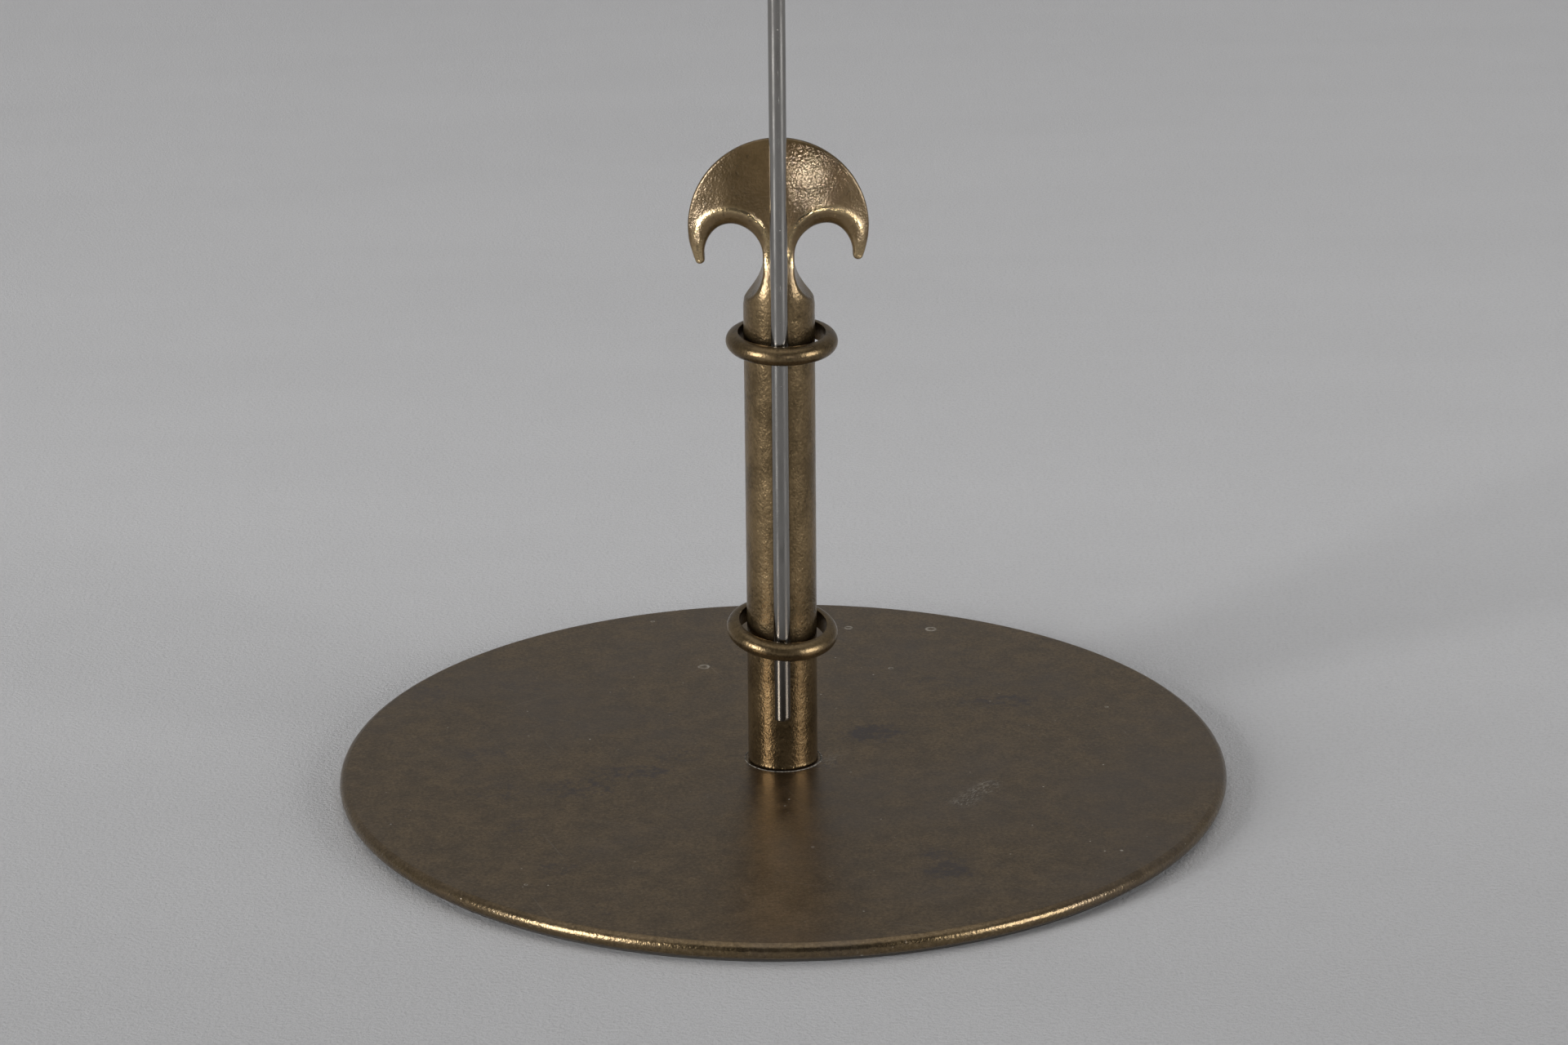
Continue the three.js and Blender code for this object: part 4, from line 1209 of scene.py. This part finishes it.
def makeCup():
    low, high = boxOf("lampholder_cup")
    wall, corner, hole = (holder[key] for key in ("cupWall", "cupCorner", "nippleHole"))
    bead = arc(high.x - holder["rimBead"], high.z - holder["beadDrop"], holder["rimBead"], -80, 80, 6)
    outer = high.x - holder["beadProud"]
    inner, floorIn = outer - wall, low.z + wall
    base = rounded([(hole, low.z, 0.25), (outer, low.z, corner), (outer, bead[0][1], 0)])[:-1]
    line = [(r - holder["beadGap"], z) for r, z in bead]
    lip = rounded([(outer, bead[-1][1], 0), (outer, high.z, 0.35), (inner, high.z, 0.35),
                   (inner, floorIn, corner - wall), (hole, floorIn, 0.25)])
    piece = turned("lampholderCup", base + line + lip, holder["steps"], agedBrass, headAxis)
    through, reach = (0, headAxis[1], middleOf("switch_bar")[2]), holder["drillReach"]
    barHole = laidAcross(drill(holder["barHole"], -reach, reach, 40, agedBrass), through, 1, "Y")
    glandHole = laidAcross(drill(holder["glandHole"], 0, reach, 40, agedBrass), through, -1, "X")
    settle(cutAway(piece, barHole, glandHole), "head", "aged_brass", "lampholder_cup")


def makeCore():
    low, high = boxOf("lampholder_core")
    boss, flange = holder["coreBoss"], high.z - holder["coreFlange"]
    core = rounded([(0, low.z, 0), (boss, low.z, 0.6), (boss, flange, 0.2), (high.x, flange, 0.5),
                    (high.x, high.z, 0.7), (0, high.z, 0)])
    turnedHead("porcelainCore", core, holder["steps"], porcelain, "porcelain", "lampholder_core")

    low, high = boxOf("centre_contact")
    contact = rounded([(0, low.z, 0), (high.x, low.z, 0.2), (high.x, low.z + holder["contactSide"], 0.4),
                       (high.x / 2, high.z, 0.8), (0, high.z, 0)])
    turnedHead("centreContact", contact, 48, agedBrass, "aged_brass", "centre_contact")

    low, high = boxOf("screw_shell")
    waves = ribs(high.x, low.z + 1, high.z - 1, holder["threadPitch"], holder["threadDepth"])
    wall = (high.x - holder["shellInner"]) * holder["shellShare"]
    outside = [(high.x, low.z), *waves, (high.x, high.z)]
    inside = [(r - wall, z) for r, z in reversed(outside)]
    turnedHead("screwShell", outside + inside, holder["steps"], agedBrass, "aged_brass", "screw_shell")


def makeSleeve():
    low, high = boxOf("lampholder_sleeve")
    inner, outer, shoulder = holder["sleeve"] - holder["sleeveWall"], holder["sleeve"], holder["shoulder"]
    seat = low.z - holder["sleeveDrop"] + holder["shoulderRise"]
    under = seat - holder["shoulderThickness"]
    mouth = boxOf("screw_shell")[1].x
    base = rounded([(inner, low.z, 0.3), (outer, low.z, 0.3), (outer, under, 0.4), (shoulder, under, 0.6),
                    (shoulder, seat, 0.6), (outer, seat, 0.2), (outer, seat + 1, 0)])[:-1]
    thread = ribs(outer, seat + 1.2, high.z - 1.2, holder["sleevePitch"], holder["sleeveThread"])
    cap = high.z - holder["sleeveCap"]
    top = rounded([(*thread[-1], 0), (outer - 0.1, high.z, 0.6), (mouth, high.z, 0.6), (mouth, cap, 0.2),
                   (inner, cap, 0.2), (inner, low.z, 0)])[1:-1]
    profile = base + thread + top
    turnedHead("lampholderSleeve", profile, holder["steps"], agedBrass, "aged_brass", "lampholder_sleeve")


makeCup()
makeCore()
makeSleeve()


# Knurled nut that clamps the shade
nut = {"flutes": 40, "fluteDepth": 0.7, "fluteReach": 1.2, "perFlute": 8, "chamfer": 1.0, "gap": 0.3}


def makeNut():
    low, high = boxOf("shade_nut")
    inner, chamfer = holder["sleeve"] + nut["gap"], nut["chamfer"]
    sixth = (high.z - low.z) / 6
    rim = high.x - chamfer
    profile = rounded([(inner, low.z, 0.3), (rim, low.z, 0.3), (high.x, low.z + chamfer, 0.2),
                       (high.x, high.z - chamfer, 0.2), (rim, high.z, 0.3), (inner, high.z, 0.3)], 3)
    at = next(i for i, (r, z) in enumerate(profile) if z > low.z + 2 * sixth)
    profile[at:at] = [(high.x, low.z + sixth * k) for k in (2, 3, 4)]
    piece = turned("shadeNut", profile, nut["flutes"] * nut["perFlute"], agedBrass, headAxis)
    points = readPoints(piece, "co") / mm
    away = points[:, :2] - headAxis
    reach = np.hypot(*away.T)
    turn = np.arctan2(away[:, 1], away[:, 0])
    flute = nut["fluteDepth"] * (0.5 - 0.5 * np.cos(nut["flutes"] * turn))
    flute = flute * limited(reach - (high.x - nut["fluteReach"]))
    points[:, :2] -= away / reach[:, None] * flute[:, None]
    writePoints(piece, points * mm)
    settle(piece, "head", "aged_brass", "shade_nut")


makeNut()


# Cord gland and switch bar, both lying across the cup
gland = {
    "bore": 3.4, "body": 4.5, "outLength": 7.0, "flange": 2.0, "collar": 0.9, "end": 0.7,
    "ribs": 4, "ribDepth": 0.5,
}
bar = {
    "crown": 1.1, "plainEnd": 2.0,
    "grooves": 3, "firstGroove": 2.2, "groovePitch": 1.1, "grooveDepth": 0.22,
}


def makeGland():
    low, high = boxOf("cord_gland")
    bore, body, flange = gland["bore"], gland["body"], high.x
    near, far = low.y - headAxis[1], high.y - headAxis[1]
    wall = far - gland["outLength"]
    nose = wall + gland["flange"]
    base = rounded([(bore, near, 0.3), (body, near, 0.3), (body, wall, 0), (flange, wall, 0.3),
                    (flange, nose, 0.6), (body, nose, 0.2), (body, nose + gland["collar"] - 0.1, 0)])[:-1]
    bottom, top = nose + gland["collar"], far - gland["end"]
    grip = ribs(body, bottom, top, (top - bottom) / gland["ribs"], gland["ribDepth"])
    end = rounded([(*grip[-1], 0), (body, far, 0.5), (bore, far, 0.5), (bore, near, 0)])[1:-1]
    piece = turned("cordGland", base + grip + end, 64, blackPlastic)
    laidAcross(piece, (0, headAxis[1], middleOf("cord_gland")[2]), -1, "X")
    settle(piece, "head", "black_plastic", "cord_gland")


def makeBar():
    low, high = boxOf("switch_bar")
    middle = middleOf("switch_bar")
    radius, half = (high.z - low.z) / 2, (high.x - low.x) / 2
    plain = -half + bar["plainEnd"]
    side = rounded([(0, -half, 0), (radius, -half, bar["crown"]), (radius, plain, 0)], 6)[:-1]
    for i in range(bar["grooves"]):
        at = -half + bar["firstGroove"] + bar["groovePitch"] * i
        side += arc(radius, at, bar["grooveDepth"], 270, 90, 4)
    piece = turned("switchBar", side + [(r, -z) for r, z in reversed(side)], 48, blackPlastic)
    laidAcross(piece, (middle[0], headAxis[1], middle[2]), 1, "Y")
    settle(piece, "switch_bar", "black_plastic", "switch_bar")


makeGland()
makeBar()


# Shade: a parchment cone with taped hems and a glued seam at the back, on a wire carrier
shade = {
    "top": 75.0, "wall": 1.2, "rows": 30, "steps": 200,
    "hemWidth": 9.0, "hemLift": 0.25, "hemStand": 0.225, "hemRows": 5,
    "seamWidth": 12.0, "seamSink": 0.1, "seamRows": 24, "seamColumns": 7,
    "wire": 1.6, "wireSides": 12, "arms": 3, "armStart": 25.0, "armPoints": 13,
    "plateInner": 19.8, "plateOuter": 26.5, "plateThickness": 2.0, "plateDrop": 0.3,
}


def coneRadius(level, low, high):
    return high.x + (shade["top"] - high.x) * (level - low.z) / (high.z - low.z)


def makeCone(low, high):
    rise = [low.z + (high.z - low.z) * i / shade["rows"] for i in range(shade["rows"] + 1)]
    outside = [(coneRadius(z, low, high), z) for z in rise]
    inside = [(r - shade["wall"], z) for r, z in reversed(outside)]
    turnedHead("shadeCone", outside + inside, shade["steps"], parchment, "parchment", "shade", 50)


def makeHems(low, high):
    bands = []
    hem, lift, stand = shade["hemWidth"], shade["hemLift"], shade["hemStand"]
    for start, stop, edge, fold in ((low.z, low.z + hem, 0, -lift), (high.z - hem, high.z, -1, lift)):
        levels = np.linspace(start, stop, shade["hemRows"])
        radii = [coneRadius(z, low, high) for z in levels]
        levels[edge] += fold        # over the shade's edge
        outer = [(r + stand, z) for r, z in zip(radii, levels)]
        inner = [(r - shade["wall"] - stand, z) for r, z in zip(radii, levels)]
        bands.append(turned("band", outer + inner[::-1], shade["steps"], hemTape, headAxis, 60))
    settle(joined("shadeHems", bands), "head", "parchment")


def makeSeam(low, high):        # a strip of two layers, glued down the back
    columns, points = shade["seamColumns"], []
    rows = np.linspace(low.z + shade["hemWidth"], high.z - shade["hemWidth"], shade["seamRows"])
    for lift in (-shade["seamSink"], shade["hemLift"]):
        for z in rows:
            radius = coneRadius(z, low, high) + lift
            for k in range(columns):
                turn = math.pi / 2 + (k / (columns - 1) * 2 - 1) * shade["seamWidth"] / 2 / radius
                points.append(aroundHead(radius, turn, z))

    def at(i, k):
        return i * columns + k

    last, end, layer = len(rows) - 1, columns - 1, len(rows) * columns
    grid = [(at(i, k), at(i, k + 1), at(i + 1, k + 1), at(i + 1, k)) for i in range(last) for k in range(end)]
    border = [(at(i, 0), at(i + 1, 0)) for i in range(last)]
    border += [(at(last, k), at(last, k + 1)) for k in range(end)]
    border += [(at(i + 1, end), at(i, end)) for i in range(last)]
    border += [(at(0, k + 1), at(0, k)) for k in range(end)]
    faces = grid + [tuple(i + layer for i in reversed(quad)) for quad in grid]
    faces += [(a, b, b + layer, a + layer) for a, b in border]
    settle(newPiece("shadeSeam", points, faces, parchment, 50), "head", "parchment")


def makeShade():
    for make in (makeCone, makeHems, makeSeam):
        make(*boxOf("shade"))


def wireRing(name, radius, level, count=120):
    path = [aroundHead(radius, 2 * math.pi * i / count, level) for i in range(count)]
    return wire(name, path, shade["wire"], shade["wireSides"], agedBrass, True)


def makeCarrier():
    low, high = boxOf("shade_carrier")
    plateTop = high.z - shade["plateDrop"]
    plateLow, middle = plateTop - shade["plateThickness"], plateTop - shade["plateThickness"] / 2
    plate = rounded([(shade["plateInner"], plateLow, 0.3), (shade["plateOuter"], plateLow, 0.5),
                     (shade["plateOuter"], plateTop, 0.5), (shade["plateInner"], plateTop, 0.3)])
    level, reach = low.z + shade["wire"], high.x - shade["wire"]
    pieces = [turned("plate", plate, 112, agedBrass, headAxis), wireRing("hoop", reach, level)]
    for i in range(shade["arms"]):
        turn = math.pi / 2 + 2 * math.pi * i / shade["arms"]
        path = []
        for share in np.linspace(0, 1, shade["armPoints"]):
            radius = shade["armStart"] + (reach - shade["armStart"]) * share
            path.append(aroundHead(radius, turn, middle + (level - middle) * share))
        pieces.append(wire("arm", path, shade["wire"], shade["wireSides"], agedBrass))
    settle(joined("shadeCarrier", pieces), "head", "aged_brass", "shade_carrier")

    reach = boxOf("shade_top_ring")[1].x - shade["wire"]
    hoop = wireRing("shadeTopRing", reach, middleOf("shade_top_ring")[2])
    settle(hoop, "head", "aged_brass", "shade_top_ring")


makeShade()
makeCarrier()


# Bulb: screw cap with a solder tip, and an opal glass
bulb = {
    "tip": 5.0, "taper": 4.0, "pitch": 3.6, "thread": 0.7, "collar": 3.0,
    "neck": 12.6, "ballStart": -52, "neckPull": 9, "neckSteps": 16, "wall": 0.8, "steps": 112,
}


def makeCap():
    low, high = boxOf("bulb_cap")
    radius, tip, taper = high.x, bulb["tip"], low.z + bulb["taper"]
    bottom = rounded([(0, low.z, 0), (tip, low.z, 1.0), (tip + 1.5, low.z + 1.6, 0.5),
                      (radius - 1.2, taper, 0.5), (radius - 0.4, taper + 1.2, 0)])[:-1]
    collar = high.z - bulb["collar"]
    thread = ribs(radius, taper + 1.4, collar - 1, bulb["pitch"], bulb["thread"])
    top = rounded([(*thread[-1], 0), (radius, collar, 0.4), (radius, high.z, 0.4), (0, high.z, 0)])[1:]
    turnedHead("bulbCap", bottom + thread + top, bulb["steps"], agedBrass, "aged_brass", "bulb_cap")


def glassOutline(low, high, wall):        # a curved neck that runs into the ball
    centre, neck = high.z - high.x, bulb["neck"] - wall
    ball = arc(0, centre, high.x - wall, bulb["ballStart"], 90, 40)
    start, stop = Vector((neck, low.z)), Vector(ball[0])
    lead = Vector((neck, low.z + (centre - low.z) / 3))
    turn = math.radians(bulb["ballStart"] + 90)
    away = stop - Vector((math.cos(turn), math.sin(turn))) * bulb["neckPull"]
    curve = []
    for i in range(bulb["neckSteps"]):
        t = i / bulb["neckSteps"]
        a, b, c, d = (1 - t) ** 3, 3 * t * (1 - t) ** 2, 3 * t * t * (1 - t), t ** 3
        curve.append(tuple(a * start + b * lead + c * away + d * stop))
    return curve + ball[:-1] + [(0, high.z - wall)]


def makeBulb():
    low, high = boxOf("bulb_glass")
    profile = glassOutline(low, high, 0) + glassOutline(low, high, bulb["wall"])[::-1]
    turnedHead("bulbGlass", profile, bulb["steps"], opalGlass, "opal_glass", "bulb_glass", 60)


makeCap()
makeBulb()
print("head ready")


# Small fittings: the shapes of their solids, with softened edges
fittings = {
    "edge": 0.2,
    "pieces": [        # piece, solid, body, slot, finish
        ("postBolt", "post_bolt", "base", "satin_steel", boltSteel),
        ("grubScrew", "socket_grub_screw", "head", "satin_steel", boltSteel),
        ("threadedNipple", "socket_nipple", "head", "aged_brass", agedBrass),
        ("nippleNut", "nipple_nut", "head", "satin_steel", boltSteel),
    ],
}


def makeFitting(name, node, body, slot, material):
    mesh = nodes[node].data.copy()
    mesh.materials.clear()
    mesh.materials.append(material)
    piece = addObject(name, mesh)
    soft = piece.modifiers.new("softEdges", "BEVEL")
    soft.width = fittings["edge"] * mm
    soft.segments = 2
    soft.limit_method = "ANGLE"
    settle(applied(piece), body, slot, node)


for fitting in fittings["pieces"]:
    makeFitting(*fitting)
print("fittings ready")
